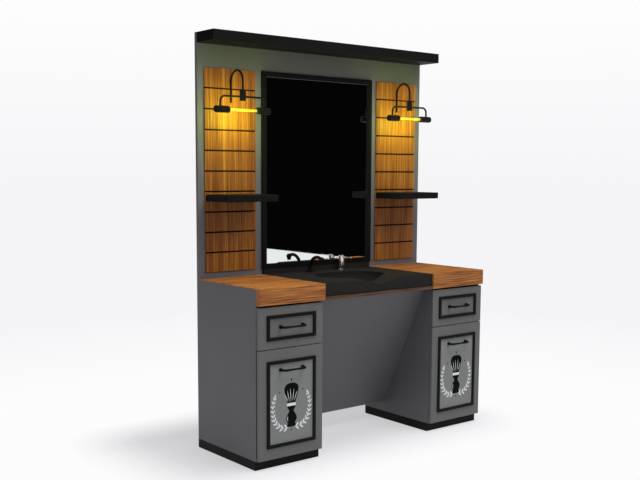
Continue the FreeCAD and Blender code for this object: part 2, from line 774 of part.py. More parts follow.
def mixer_lever():
    """A flat lever with a rounded tip, forged in one with its cross pin."""
    depth = (TAP_DEPTH + MIXER_CAP_R - LEVER_TAIL, TAP_DEPTH + MIXER_CAP_R + LEVER_LENGTH)
    x = (MIXER_X - LEVER_W / 2, MIXER_X + LEVER_W / 2)
    blade = slab(x, depth, (LEVER_Z - LEVER_T / 2, LEVER_Z + LEVER_T / 2))
    tip = [edge for edge in blade.Edges if edge.BoundBox.YMax < FACE_Y - depth[1] + 0.01]
    uprights = [edge for edge in tip if edge.BoundBox.ZLength > LEVER_T / 2]
    blade = blade.makeFillet((LEVER_W - LEVER_TIP_FLAT) / 2, uprights)
    return blade.fuse(lever_pin()).removeSplitter()


def mixer_tails():
    """Two supply pipes back to the wall line and one across to the spout."""
    shank_foot = COUNTER_Z - SHANK_LENGTH
    pipes = []
    for step in (-0.5, 0.5):
        x = MIXER_X + step * TAIL_SPREAD
        points = [
            at(x, TAP_DEPTH - TAIL_SETBACK, shank_foot),
            at(x, TAP_DEPTH - TAIL_SETBACK, TAIL_DROP_Z),
            at(x, -PANEL_T, TAIL_DROP_Z),
        ]
        pipes.append(bent_rod(TAIL_PIPE_R, TAIL_BEND_R, points))
    return pipes


def cross_pipe():
    """The pipe from the mixer's shank to the spout's stem."""
    depth = TAP_DEPTH + CROSS_PIPE_SETFORWARD
    shank_foot = COUNTER_Z - SHANK_LENGTH
    points = [
        at(MIXER_X, depth, shank_foot),
        at(MIXER_X, depth, shank_foot - CROSS_PIPE_DROP),
        at(SPOUT_X, depth, shank_foot - CROSS_PIPE_DROP),
        at(SPOUT_X, depth, shank_foot),
    ]
    return bent_rod(TAIL_PIPE_R, CROSS_PIPE_BEND_R, points)


def spout_collar():
    """The fixed collar and threaded shank that the spout turns in."""
    start = at(SPOUT_X, TAP_DEPTH, COUNTER_Z)
    collar = rod(SPOUT_COLLAR_R, start, at(SPOUT_X, TAP_DEPTH, COUNTER_Z + SPOUT_COLLAR_H))
    rim = [edge for edge in collar.Edges if edge.BoundBox.ZMin > COUNTER_Z + SPOUT_COLLAR_H - 0.01]
    collar = collar.makeFillet(SPOUT_COLLAR_H / 3, rim)
    shank = rod(TAP_HOLE_R - 1, at(SPOUT_X, TAP_DEPTH, COUNTER_Z - SHANK_LENGTH), start)
    seat = rod(
        SPOUT_STEM_R + SPOUT_STEM_PLAY,
        at(SPOUT_X, TAP_DEPTH, COUNTER_Z - SPOUT_COLLAR_R),
        at(SPOUT_X, TAP_DEPTH, COUNTER_Z + SPOUT_COLLAR_H + 1),
    )
    return collar.fuse(shank).cut(seat).removeSplitter()


def spout():
    """A low swan neck with a ball head whose lip faces down into the bowl."""
    stem_foot = COUNTER_Z - SPOUT_COLLAR_R + SPOUT_STEM_PLAY
    bend_z = COUNTER_Z + SPOUT_COLLAR_H + SPOUT_RISE
    stem = rod(SPOUT_STEM_R, at(SPOUT_X, TAP_DEPTH, stem_foot), at(SPOUT_X, TAP_DEPTH, bend_z))
    start = at(SPOUT_X, TAP_DEPTH, bend_z)
    centre = at(SPOUT_X, TAP_DEPTH + SPOUT_ARC_R, bend_z)
    neck = bend(SPOUT_R, start, V(0, 0, 1), centre, SPOUT_SWEEP)
    turn = math.radians(SPOUT_SWEEP)
    head_depth = TAP_DEPTH + SPOUT_ARC_R * (1 - math.cos(turn))
    head_at = at(SPOUT_X, head_depth, bend_z + SPOUT_ARC_R * math.sin(turn))
    ball = Part.makeSphere(SPOUT_HEAD_R, head_at)
    lip = rod(SPOUT_LIP_R, head_at, head_at - V(0, 0, SPOUT_HEAD_R + SPOUT_LIP_T))
    return stem.fuse([neck, ball, lip]).removeSplitter()


save("mixer_body", mixer_body())
save("mixer_cap", mixer_cap())
save("mixer_lever", mixer_lever())
save("mixer_pipes", *mixer_tails(), cross_pipe())
save("spout_collar", spout_collar())
save("spout", spout())


# Drawers and doors ------------------------------------------------------------------------


def bow_handle(x, z):
    """A waisted bar that bends back to two stub feet, screwed on from behind."""
    out = FRONT_FACE_DEPTH + HANDLE_REACH - HANDLE_R
    waist = at(x, out, z)
    pieces = []
    for sign in (-1, 1):
        foot_x = x + sign * HANDLE_CENTRES / 2
        seat = at(foot_x, FRONT_FACE_DEPTH, z)
        sink = at(foot_x, FRONT_FACE_DEPTH - HANDLE_SCREW_SINK, z)
        bend_end = at(foot_x - sign * HANDLE_BEND_R, out, z)
        taper = waist - bend_end
        pieces += [
            bent_rod(HANDLE_R, HANDLE_BEND_R, [seat, at(foot_x, out, z), bend_end]),
            Part.makeCone(HANDLE_R, HANDLE_WAIST_R, taper.Length, bend_end, taper),
            rod(HANDLE_FOOT_R, seat, at(foot_x, FRONT_FACE_DEPTH + HANDLE_FOOT_T, z)),
            rod(HANDLE_SCREW_R, sink, seat),
        ]
    return pieces[0].fuse(pieces[1:]).removeSplitter()


def front_panel(x, z, handle):
    """A drawer front or door with its handle's screw holes."""
    return board(x, (FRONT_BACK_DEPTH, FRONT_FACE_DEPTH), z).cut(handle)


def drawer_box(sign):
    """Two sides, a back, an inner front, a bottom and the slides' moving bars."""
    centre = sign * COLUMN_X
    bay = PEDESTAL_W - 2 * BOARD_T
    half = bay / 2 - SLIDE_GAP
    foot = DIVIDER_TOP + BOX_FLOOR_GAP
    z = (foot, foot + BOX_H)
    depth = (FRONT_BACK_DEPTH - BOX_LENGTH, FRONT_BACK_DEPTH)
    inside = (centre - half + BOX_SIDE_T, centre + half - BOX_SIDE_T)
    well = (depth[0] + BOX_SIDE_T, depth[1] - BOX_SIDE_T)
    pieces = [
        slab((centre - half, inside[0]), depth, z),
        slab((inside[1], centre + half), depth, z),
        slab(inside, (depth[0], well[0]), z),
        slab(inside, (well[1], depth[1]), z),
        slab(inside, well, (foot + BOX_BOTTOM_RISE, foot + BOX_BOTTOM_RISE + BOX_BOTTOM_T)),
    ]
    bar_z = (slide_z() - SLIDE_BAR_H / 2, slide_z() + SLIDE_BAR_H / 2)
    bar_depth = (depth[0], depth[0] + SLIDE_LENGTH)
    reach = SLIDE_GAP - SLIDE_SHEET - SLIDE_BAR_GAP
    for edge, way in ((centre - half, -1), (centre + half, 1)):
        pieces.append(slab((edge, edge + way * reach), bar_depth, bar_z))
    return pieces


def slide_z():
    """The height of the slides' centre line."""
    return DIVIDER_TOP + BOX_FLOOR_GAP + BOX_H / 2


def slide_rail(wall_x, way):
    """The fixed channel of one slide, open towards the drawer."""
    depth = (FRONT_BACK_DEPTH - BOX_LENGTH, FRONT_BACK_DEPTH - BOX_LENGTH + SLIDE_LENGTH)
    z = (slide_z() - SLIDE_H / 2, slide_z() + SLIDE_H / 2)
    whole = slab((wall_x, wall_x + way * SLIDE_LIP_REACH), depth, z)
    room = slab(
        (wall_x + way * SLIDE_SHEET, wall_x + way * (SLIDE_LIP_REACH + 1)),
        (depth[0] - 1, depth[1] + 1),
        (z[0] + SLIDE_SHEET, z[1] - SLIDE_SHEET),
    )
    return whole.cut(room)


def drawer(side, sign):
    """One drawer: front, trim, handle and box."""
    outer = sign * (HALF - FRONT_SIDE_GAP)
    inner = sign * (PEDESTAL_IN + FRONT_SIDE_GAP)
    x = (min(outer, inner), max(outer, inner))
    z = (DRAWER_FOOT, DRAWER_TOP)
    trim_x = (x[0] + TRIM_SIDE_MARGIN, x[1] - TRIM_SIDE_MARGIN)
    trim_z = (z[0] + DRAWER_TRIM_MARGIN, z[1] - DRAWER_TRIM_MARGIN)
    depth = (FRONT_FACE_DEPTH, FRONT_FACE_DEPTH + TRIM_PROUD)
    handle = bow_handle(sum(x) / 2, sum(trim_z) / 2 + DRAWER_HANDLE_RISE)
    save("drawer_front_" + side, front_panel(x, z, handle))
    save("drawer_trim_" + side, *mitred_ring(trim_x, trim_z, depth, TRIM_BAR, TRIM_EASE))
    save("drawer_handle_" + side, handle)
    save("drawer_box_" + side, *drawer_box(sign))


def hinge_parts(sign):
    """Fixed and moving leaves of a continuous hinge, each with every other knuckle."""
    axis_x = sign * (HALF - HINGE_KNUCKLE_R)
    axis_depth = CARCASS_DEPTH + FRONT_STANDOFF / 2
    foot = DOOR_FOOT + HINGE_END_MARGIN
    top = DOOR_TOP - HINGE_END_MARGIN
    count = int((top - foot) / HINGE_KNUCKLE_PITCH)
    pitch = (top - foot) / count
    leaf_x = (axis_x, axis_x - sign * HINGE_LEAF_W)
    fixed_depth = (CARCASS_DEPTH, CARCASS_DEPTH + HINGE_LEAF_T)
    moving_depth = (FRONT_BACK_DEPTH - HINGE_LEAF_T, FRONT_BACK_DEPTH)
    leaves = [slab(leaf_x, fixed_depth, (foot, top)), slab(leaf_x, moving_depth, (foot, top))]
    for index in range(count):
        low = foot + index * pitch + HINGE_KNUCKLE_GAP / 2
        high = foot + (index + 1) * pitch - HINGE_KNUCKLE_GAP / 2
        start, end = at(axis_x, axis_depth, low), at(axis_x, axis_depth, high)
        barrel = rod(HINGE_KNUCKLE_R, start, end)
        clear_start = at(axis_x, axis_depth, low - HINGE_KNUCKLE_GAP)
        clear_end = at(axis_x, axis_depth, high + HINGE_KNUCKLE_GAP)
        clear = rod(HINGE_KNUCKLE_R + HINGE_KNUCKLE_GAP, clear_start, clear_end)
        owner = index % 2
        leaves[owner] = leaves[owner].fuse(barrel)
        leaves[1 - owner] = leaves[1 - owner].cut(clear)
    ends = at(axis_x, axis_depth, foot), at(axis_x, axis_depth, top)
    bore = rod(HINGE_PIN_R + HINGE_PIN_PLAY, ends[0] - V(0, 0, 1), ends[1] + V(0, 0, 1))
    fixed = leaves[0].cut(bore).removeSplitter()
    moving = leaves[1].cut(bore).removeSplitter()
    return fixed, moving, rod(HINGE_PIN_R, *ends)


def door(side, sign):
    """One door: panel, trim, handle and its hinge leaf."""
    outer = sign * (HALF - FRONT_SIDE_GAP)
    inner = sign * (PEDESTAL_IN + FRONT_SIDE_GAP)
    x = (min(outer, inner), max(outer, inner))
    z = (DOOR_FOOT, DOOR_TOP)
    trim_x = (x[0] + TRIM_SIDE_MARGIN, x[1] - TRIM_SIDE_MARGIN)
    trim_z = (z[0] + DOOR_TRIM_MARGIN, z[1] - DOOR_TRIM_MARGIN)
    depth = (FRONT_FACE_DEPTH, FRONT_FACE_DEPTH + TRIM_PROUD)
    handle = bow_handle(sum(x) / 2, trim_z[1] - DOOR_HANDLE_DROP)
    save("door_panel_" + side, front_panel(x, z, handle).cut(hinge_room(sign)))
    save("door_trim_" + side, *mitred_ring(trim_x, trim_z, depth, TRIM_BAR, TRIM_EASE))
    save("door_handle_" + side, handle)


rails = []
fixed_leaves = []
for side, sign in SIDES:
    drawer(side, sign)
    door(side, sign)
    fixed_leaf, moving_leaf, pin = hinge_parts(sign)
    save("door_hinge_leaf_" + side, moving_leaf)
    fixed_leaves += [fixed_leaf, pin]
    rails.append(slide_rail(sign * (HALF - BOARD_T), -sign))
    rails.append(slide_rail(sign * (PEDESTAL_IN + BOARD_T), sign))
save("carcass_hinge_leaves", *fixed_leaves)
save("slide_rails", *rails)


# Lamps ------------------------------------------------------------------------------------


def lamp_arm(sign):
    """A pipe up the boards, over a half circle and down into the knuckle, with its stubs."""
    x = sign * COLUMN_X
    near = SLAT_T + LAMP_STAND + LAMP_PIPE_R
    points = [
        at(x, near, LAMP_FOOT_Z),
        at(x, near, LAMP_CREST_Z),
        at(x, LAMP_REACH, LAMP_CREST_Z),
        at(x, LAMP_REACH, KNUCKLE_TOP_Z - KNUCKLE_SINK),
    ]
    arm = bent_rod(LAMP_PIPE_R, (LAMP_REACH - near) / 2, points)
    return arm.fuse(lamp_stubs(sign)).removeSplitter()


def lamp_head(sign):
    """The turning knuckle and the bent bar that is brazed through it."""
    x = sign * COLUMN_X
    knuckle = rod(
        KNUCKLE_R, at(x, LAMP_REACH, KNUCKLE_TOP_Z - KNUCKLE_H), at(x, LAMP_REACH, KNUCKLE_TOP_Z)
    )
    knuckle = eased(knuckle, KNUCKLE_EASE)
    seat_foot = at(x, LAMP_REACH, KNUCKLE_TOP_Z - KNUCKLE_SINK - KNUCKLE_PLAY)
    seat = rod(LAMP_PIPE_R + KNUCKLE_PLAY, seat_foot, at(x, LAMP_REACH, KNUCKLE_TOP_Z + 1))
    end_z = HOLDER_Z + HOLDER_R - HOLDER_PIPE_SINK
    points = [
        at(x - LAMP_BAR_HALF, LAMP_REACH, end_z),
        at(x - LAMP_BAR_HALF, LAMP_REACH, LAMP_BAR_Z),
        at(x + LAMP_BAR_HALF, LAMP_REACH, LAMP_BAR_Z),
        at(x + LAMP_BAR_HALF, LAMP_REACH, end_z),
    ]
    bar = bent_rod(LAMP_PIPE_R, LAMP_BAR_BEND, points)
    return knuckle.cut(seat).cut(bar), bar


def lamp_tube_reach():
    """How far the glass tube's ends lie from the lamp's centre."""
    return HOLDER_HALF - HOLDER_LENGTH / 2 + LAMP_TUBE_SINK


def lamp_holder(sign, way, bar):
    """A capsule on the end of the bar that grips one end of the tube."""
    x = sign * COLUMN_X + way * HOLDER_HALF
    half = HOLDER_LENGTH / 2
    body = rod(HOLDER_R, at(x - half, LAMP_REACH, HOLDER_Z), at(x + half, LAMP_REACH, HOLDER_Z))
    body = eased(body, HOLDER_NOSE)
    tube_end = sign * COLUMN_X + way * (lamp_tube_reach() + LAMP_TUBE_PLAY)
    socket = rod(
        LAMP_TUBE_R + LAMP_TUBE_PLAY,
        at(tube_end, LAMP_REACH, HOLDER_Z),
        at(x - way * (half + 1), LAMP_REACH, HOLDER_Z),
    )
    return body.cut(socket).cut(bar)


def lamp_tube(sign):
    """A closed glass tube that ends inside the holders."""
    x = sign * COLUMN_X
    reach = lamp_tube_reach()
    return rod(LAMP_TUBE_R, at(x - reach, LAMP_REACH, HOLDER_Z), at(x + reach, LAMP_REACH, HOLDER_Z))


for side, sign in SIDES:
    knuckle, bar = lamp_head(sign)
    save("lamp_arm_" + side, lamp_arm(sign))
    save("lamp_head_" + side, knuckle, bar)
    save("lamp_holders_" + side, lamp_holder(sign, -1, bar), lamp_holder(sign, 1, bar))
    save("lamp_tube_" + side, lamp_tube(sign))
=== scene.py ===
# %% [markdown]
# # A salon station, dressed from its frame
#
# The frame holds every solid of the station at its real size, in metres. X runs to the
# right, the working side faces -Y, and Z is up from the floor. The solids already have
# the right shapes, so most of this lesson is about surfaces: melamine board, stained
# pine, cast stone, chrome and glass. Only what is too thin or too fine for a solid, such
# as the printed sheets on the doors, is added as new pieces.

# %% Load the frame
import bpy
import bmesh
import json
import math
from mathutils import Matrix, Vector

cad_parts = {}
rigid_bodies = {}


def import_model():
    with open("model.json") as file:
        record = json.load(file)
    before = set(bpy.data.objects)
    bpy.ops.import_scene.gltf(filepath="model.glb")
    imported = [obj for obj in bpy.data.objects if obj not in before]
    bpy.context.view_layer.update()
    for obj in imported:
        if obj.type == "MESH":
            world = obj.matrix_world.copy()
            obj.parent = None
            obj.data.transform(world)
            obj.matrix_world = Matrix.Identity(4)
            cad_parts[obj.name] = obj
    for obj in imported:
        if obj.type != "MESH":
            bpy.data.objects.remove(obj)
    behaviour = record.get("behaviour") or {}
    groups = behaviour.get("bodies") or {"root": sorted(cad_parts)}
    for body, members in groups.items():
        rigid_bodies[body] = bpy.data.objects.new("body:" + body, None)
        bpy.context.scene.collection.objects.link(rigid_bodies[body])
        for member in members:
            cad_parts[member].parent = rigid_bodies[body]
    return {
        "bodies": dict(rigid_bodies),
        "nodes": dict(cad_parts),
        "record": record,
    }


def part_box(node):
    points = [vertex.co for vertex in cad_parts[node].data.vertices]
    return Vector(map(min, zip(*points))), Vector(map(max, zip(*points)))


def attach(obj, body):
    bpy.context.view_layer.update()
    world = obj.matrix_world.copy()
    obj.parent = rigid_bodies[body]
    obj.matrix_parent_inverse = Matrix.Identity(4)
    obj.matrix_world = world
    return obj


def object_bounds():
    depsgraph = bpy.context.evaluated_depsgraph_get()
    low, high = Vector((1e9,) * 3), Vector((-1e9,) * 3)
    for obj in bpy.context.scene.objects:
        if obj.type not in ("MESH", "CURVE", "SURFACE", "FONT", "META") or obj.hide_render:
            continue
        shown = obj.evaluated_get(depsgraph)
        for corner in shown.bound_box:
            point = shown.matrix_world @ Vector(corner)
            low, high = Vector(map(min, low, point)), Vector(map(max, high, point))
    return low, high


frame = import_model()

CAD_BOX = [list(corner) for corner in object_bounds()]
NODES = frame["nodes"]
MM = 0.001
SIDES = ("left", "right")

# %% [markdown]
# ## Helpers for every material
#
# Colours are easiest to choose as sRGB hex values, the way a paint chart gives them, but
# shaders work in linear light, so one function turns them. A second function adds a
# shader node, sets it up and links it, which keeps each material down to a list of steps.
# Two more open a material and close it with its surface.

# %% Colour and node helpers


def srgb(code):
    """A linear colour from an sRGB hex value such as "5a5a5c"."""
    channels = [int(code[i:i + 2], 16) / 255 for i in (0, 2, 4)]
    linear = [c / 12.92 if c <= 0.04045 else ((c + 0.055) / 1.055) ** 2.4 for c in channels]
    return (*linear, 1.0)


def add(tree, kind, inputs=None, **settings):
    """Adds a node, applies its settings, and sets or links its inputs."""
    made = tree.nodes.new(kind)
    for name, value in settings.items():
        setattr(made, name, value)
    for socket, value in (inputs or {}).items():
        if isinstance(value, bpy.types.NodeSocket):
            tree.links.new(value, made.inputs[socket])
        else:
            made.inputs[socket].default_value = value
    return made


def new_material(name):
    """An empty node material, its tree, and object coordinates in metres."""
    material = bpy.data.materials.new(name)
    material.use_nodes = True
    tree = material.node_tree
    tree.nodes.clear()
    coords = add(tree, "ShaderNodeTexCoord").outputs["Object"]
    return material, tree, coords


def finish_material(tree, **inputs):
    """Puts a Principled surface on the material with these inputs."""
    named = {name.replace("_", " "): value for name, value in inputs.items()}
    shader = add(tree, "ShaderNodeBsdfPrincipled", named)
    add(tree, "ShaderNodeOutputMaterial", {"Surface": shader.outputs[0]})


print("helpers ready; mid grey 808080 is linear", round(srgb("808080")[0], 3))

# %% [markdown]
# ## Camera
#
# The view is from the left and a little above the worktop, from about four metres in
# front of the back panel. The lens is a mild telephoto, about 54 mm on a full-frame
# sensor, tipped down by seven degrees and raised again with a little shift. Its place is
# given from the panel's face, which is the plane that every depth is counted from. A
# rotation matrix is built from where the lens points, as a surveyor would note it.

# %% Camera
LENS_MM = 53.65
SENSOR_MM = 36.0
PANEL_FACE_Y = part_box("back_panel")[0][1]
EYE = Vector((-3.1945, PANEL_FACE_Y - 3.9976, 1.3782))
HEADING = math.radians(38.781)
TILT = math.radians(-6.794)
ROLL = math.radians(0.278)
LENS_SHIFT = 0.0703

level = math.cos(TILT)
ahead = Vector((math.sin(HEADING) * level, math.cos(HEADING) * level, math.sin(TILT)))
level_right = Vector((math.cos(HEADING), -math.sin(HEADING), 0))
level_up = level_right.cross(ahead)
right = math.cos(ROLL) * level_right + math.sin(ROLL) * level_up
up = math.cos(ROLL) * level_up - math.sin(ROLL) * level_right

lens = bpy.data.cameras.new("camera")
lens.lens = LENS_MM
lens.sensor_width = SENSOR_MM
lens.shift_y = LENS_SHIFT
camera = bpy.data.objects.new("camera", lens)
turn = Matrix((right, up, -ahead)).transposed().to_4x4()
camera.matrix_world = Matrix.Translation(EYE) @ turn
bpy.context.scene.collection.objects.link(camera)
bpy.context.scene.camera = camera
bpy.context.scene.view_settings.view_transform = "Standard"
print("camera at", [round(v, 3) for v in EYE])

# %% [markdown]
# ## Floor
#
# The station stands on a pale, smooth studio floor. To the lens and to polished surfaces
# the floor is a mix of white paper sweep and matt floor. Under the station the matt floor
# has the larger share, which paints a soft shade there on top of the real shadow that the
# matt floor keeps. The white share rises with the distance from the station's outline, so
# half a metre out the floor has turned into white paper. Further out, from 1.2 to 4 metres,
# the paper greys a little, so it meets the backdrop and no horizon shows. The main light
# comes from the front right, so the painted shade is shifted a little to the back and the
# left. The floor ends at a real edge, and beyond it the room is dark: that is what the tall
# mirror shows above a wedge of pale floor.

# %% Floor
FLOOR_WHITE = srgb("f4f4f6")
NEAR_FLOOR_WHITE = srgb("fcfcfd")
FLOOR_GREY = srgb("c9c9cd")
FLOOR_HALF_WIDTH = 6.75
FLOOR_FRONT = 12.0
SHADE_CENTRE = (-0.12, 0.2, 0)
SHADE_WIDTH = 0.5
SHADED_WHITE_SHARE = 0.47
PAPER_FADE_START = 1.2
PAPER_FADE_END = 4.0

floor_material, tree, coords = new_material("studio_floor")
from_centre = add(
    tree, "ShaderNodeVectorMath", {0: coords, 1: SHADE_CENTRE}, operation="SUBTRACT"
).outputs[0]
unsigned = add(tree, "ShaderNodeVectorMath", {0: from_centre}, operation="ABSOLUTE").outputs[0]
half_size = (CAD_BOX[1][0], CAD_BOX[1][1], 0)
past_edge = add(
    tree, "ShaderNodeVectorMath", {0: unsigned, 1: half_size}, operation="SUBTRACT"
).outputs[0]
outside = add(
    tree, "ShaderNodeVectorMath", {0: past_edge, 1: (0, 0, 0)}, operation="MAXIMUM"
).outputs[0]
distance = add(tree, "ShaderNodeVectorMath", {0: outside}, operation="LENGTH").outputs["Value"]
# The white share is lowest under the station and shifted to the back left: painted shade on the
# floor.
white_share_painted_shade = add(
    tree, "ShaderNodeMapRange",
    {"Value": distance, "From Min": 0.0, "From Max": SHADE_WIDTH, "To Min": SHADED_WHITE_SHARE},
    interpolation_type="SMOOTHSTEP",
).outputs["Result"]
ray = add(tree, "ShaderNodeLightPath")
seen = add(
    tree, "ShaderNodeMath",
    {0: ray.outputs["Is Camera Ray"], 1: ray.outputs["Is Glossy Ray"]},
    operation="MAXIMUM",
).outputs[0]
blend_out = add(tree, "ShaderNodeMath", {0: white_share_painted_shade, 1: seen}, operation="MULTIPLY").outputs[0]
matt = add(tree, "ShaderNodeBsdfDiffuse", {"Color": FLOOR_GREY}).outputs[0]
away = add(
    tree, "ShaderNodeMapRange",
    {"Value": distance, "From Min": PAPER_FADE_START, "From Max": PAPER_FADE_END},
).outputs["Result"]
paper = add(
    tree, "ShaderNodeMix", {0: away, 6: NEAR_FLOOR_WHITE, 7: FLOOR_WHITE}, data_type="RGBA"
).outputs[2]
white = add(tree, "ShaderNodeEmission", {"Color": paper, "Strength": 1.0}).outputs[0]
mixed = add(tree, "ShaderNodeMixShader", {0: blend_out, 1: matt, 2: white}).outputs[0]
add(tree, "ShaderNodeOutputMaterial", {"Surface": mixed})

floor_mesh = bpy.data.meshes.new("studio_floor")
corners = [
    (-FLOOR_HALF_WIDTH, -FLOOR_FRONT, 0),
    (FLOOR_HALF_WIDTH, -FLOOR_FRONT, 0),
    (FLOOR_HALF_WIDTH, FLOOR_HALF_WIDTH, 0),
    (-FLOOR_HALF_WIDTH, FLOOR_HALF_WIDTH, 0),
]
floor_mesh.from_pydata(corners, [], [(0, 1, 2, 3)])
floor = bpy.data.objects.new("studio_floor", floor_mesh)
floor_mesh.materials.append(floor_material)
bpy.context.scene.collection.objects.link(floor)
print("floor", 2 * FLOOR_HALF_WIDTH, "m wide")

# %% [markdown]
# ## Backdrop and studio light
#
# The world does three jobs. To the eye it is a white backdrop, a touch greyer towards the
# floor. To matt surfaces it is the soft light of a white studio. Polished surfaces look
# into the dark end of the room, which is why the tall mirror is black, but on the left and
# overhead that room turns softly bright, and this gives the chrome and the black tubes
# the highlights that show their round shapes. One large softbox hangs overhead and in
# front, so the worktops are brighter than the fronts and the cornice shades the panel
# below it. It stays out of reflections.

# %% World and softbox
ROOM_LIGHT = 0.6
KEY_WATTS = 140
SOFTBOX_SIZE = 2.6
SOFTBOX_PLACE = (0.4, -1.5, 4.1)
SOFTBOX_AIM = (0, 0, 0.85)
BACKDROP_WHITE = srgb("fdfdfe")
ROOM_WHITE = srgb("fdfcff")
HORIZON_RISE = (-0.02, 0.16)
DARK_ROOM = srgb("050505")
BRIGHT_ROOM = srgb("f2f2f6")
WINDOW_SIDE = (-0.8, -0.6, 0)
WINDOW_SHARE = 0.6
WINDOW_FACING = (0.35, 1.0)
CEILING_SHARE = 0.45
CEILING_RISE = (0.35, 0.8)

world = bpy.data.worlds.new("studio")
bpy.context.scene.world = world
world.use_nodes = True
tree = world.node_tree
tree.nodes.clear()
ray = add(tree, "ShaderNodeLightPath")
direction = add(tree, "ShaderNodeTexCoord").outputs["Generated"]
rise = add(tree, "ShaderNodeSeparateXYZ", {0: direction}).outputs["Z"]
height = add(
    tree, "ShaderNodeMapRange",
    {"Value": rise, "From Min": HORIZON_RISE[0], "From Max": HORIZON_RISE[1]},
).outputs["Result"]
paper = add(
    tree, "ShaderNodeMix", {0: height, 6: FLOOR_WHITE, 7: BACKDROP_WHITE}, data_type="RGBA"
).outputs[2]
backdrop = add(tree, "ShaderNodeBackground", {"Color": paper, "Strength": 1.0}).outputs[0]
soft = add(
    tree, "ShaderNodeBackground", {"Color": ROOM_WHITE, "Strength": ROOM_LIGHT}
).outputs[0]
toward_window = add(
    tree, "ShaderNodeVectorMath", {0: direction, 1: WINDOW_SIDE}, operation="DOT_PRODUCT"
).outputs["Value"]
window = add(
    tree, "ShaderNodeMapRange",
    {
        "Value": toward_window, "From Min": WINDOW_FACING[0], "From Max": WINDOW_FACING[1],
        "To Max": WINDOW_SHARE,
    },
    interpolation_type="SMOOTHSTEP",
).outputs["Result"]
ceiling = add(
    tree, "ShaderNodeMapRange",
    {
        "Value": rise, "From Min": CEILING_RISE[0], "From Max": CEILING_RISE[1],
        "To Max": CEILING_SHARE,
    },
    interpolation_type="SMOOTHSTEP",
).outputs["Result"]
lit = add(tree, "ShaderNodeMath", {0: window, 1: ceiling}, operation="MAXIMUM").outputs[0]
walls = add(
    tree, "ShaderNodeMix", {0: lit, 6: DARK_ROOM, 7: BRIGHT_ROOM}, data_type="RGBA"
).outputs[2]
room = add(tree, "ShaderNodeBackground", {"Color": walls, "Strength": 1.0}).outputs[0]
polished = add(
    tree, "ShaderNodeMixShader", {0: ray.outputs["Is Glossy Ray"], 1: soft, 2: room}
).outputs[0]
behind = add(
    tree, "ShaderNodeMixShader", {0: ray.outputs["Is Camera Ray"], 1: polished, 2: backdrop}
).outputs[0]
add(tree, "ShaderNodeOutputWorld", {"Surface": behind})

softbox = bpy.data.lights.new("key_softbox", "AREA")
softbox.shape = "SQUARE"
softbox.size = SOFTBOX_SIZE
softbox.energy = KEY_WATTS
key = bpy.data.objects.new("key_softbox", softbox)
key.location = SOFTBOX_PLACE
aim = Vector(SOFTBOX_AIM) - key.location
key.rotation_euler = aim.to_track_quat("-Z", "Y").to_euler()
key.visible_glossy = False
bpy.context.scene.collection.objects.link(key)
print("room light", ROOM_LIGHT, "and softbox", KEY_WATTS, "W")

# %% [markdown]
# ## Melamine-faced board
#
# The carcass, the back panel and the sloped kneehole panel are chipboard with a thin grey
# melamine skin, pressed between steel plates with a fine orange-peel texture. Melamine is
# a hard plastic, so its IOR is about 1.5 and it is even in colour. What the eye reads is a
# satin sheen that breaks up slightly, faint smudges from wiping, and edges that are a
# little paler where the skin is rubbed. The real texture is about 0.4 mm across, too fine
# to show, so it is drawn at 3 mm. The drawer fronts and doors have a satin paint instead,
# and the blacks reflect only weakly, so little of the room shows in them.

# %% Board materials
PEEL_MM = 3.0
SMUDGE_MM = 260.0
RUB_MM = 1.2
GLOSS_SPREAD = 0.06


def board_material(name, tone, roughness, sheen_share=0.5, wear="9a9a9c", wear_share=0.12):
    """Melamine or painted board: even tone, faint smudges, peel texture and rubbed edges."""
    material, tree, coords = new_material(name)
    smudge = add(
        tree, "ShaderNodeTexNoise",
        {"Vector": coords, "Scale": 1 / (SMUDGE_MM * MM), "Detail": 4.0, "Roughness": 0.6},
    ).outputs["Fac"]
    peel = add(
        tree, "ShaderNodeTexNoise",
        {"Vector": coords, "Scale": 1 / (PEEL_MM * MM), "Detail": 2.0},
    ).outputs["Fac"]
    tint = add(
        tree, "ShaderNodeMapRange",
        {"Value": smudge, "From Min": 0.3, "From Max": 0.7, "To Min": 0.94, "To Max": 1.05},
    ).outputs["Result"]
    base = add(
        tree, "ShaderNodeVectorMath", {0: srgb(tone)[:3], "Scale": tint}, operation="SCALE"
    ).outputs[0]
    rim = add(tree, "ShaderNodeBevel", {"Radius": RUB_MM * MM}, samples=4).outputs[0]
    flat = add(tree, "ShaderNodeNewGeometry").outputs["Normal"]
    facing = add(
        tree, "ShaderNodeVectorMath", {0: rim, 1: flat}, operation="DOT_PRODUCT"
    ).outputs["Value"]
    edge = add(
        tree, "ShaderNodeMapRange",
        {"Value": facing, "From Min": 0.995, "From Max": 0.9, "To Min": 0.0, "To Max": wear_share},
    ).outputs["Result"]
    rubbed = add(tree, "ShaderNodeMath", {0: edge, 1: smudge}, operation="MULTIPLY").outputs[0]
    colour = add(
        tree, "ShaderNodeMix", {0: rubbed, 6: base, 7: srgb(wear)}, data_type="RGBA"
    ).outputs[2]
    gloss = add(
        tree, "ShaderNodeMapRange",
        {
            "Value": smudge, "From Min": 0.3, "From Max": 0.7,
            "To Min": roughness - GLOSS_SPREAD, "To Max": roughness + GLOSS_SPREAD,
        },
    ).outputs["Result"]
    bump = add(
        tree, "ShaderNodeBump", {"Height": peel, "Strength": 0.05, "Distance": 0.3 * MM}
    ).outputs[0]
    finish_material(
        tree, Base_Color=colour, Roughness=gloss, IOR=1.5,
        Specular_IOR_Level=sheen_share, Normal=bump,
    )
    return material


grey_melamine = board_material("grey_melamine", "5c5c5f", 0.55)
painted_front = board_material("painted_front", "5e5e5e", 0.5)
black_laminate = board_material("black_laminate", "121212", 0.5, 0.1, "3a3a3a", 0.3)
black_lacquer = board_material("black_lacquer", "101010", 0.45, 0.1, "383838", 0.3)
boards = (grey_melamine, painted_front, black_laminate, black_lacquer)
print("board materials:", *[material.name for material in boards])

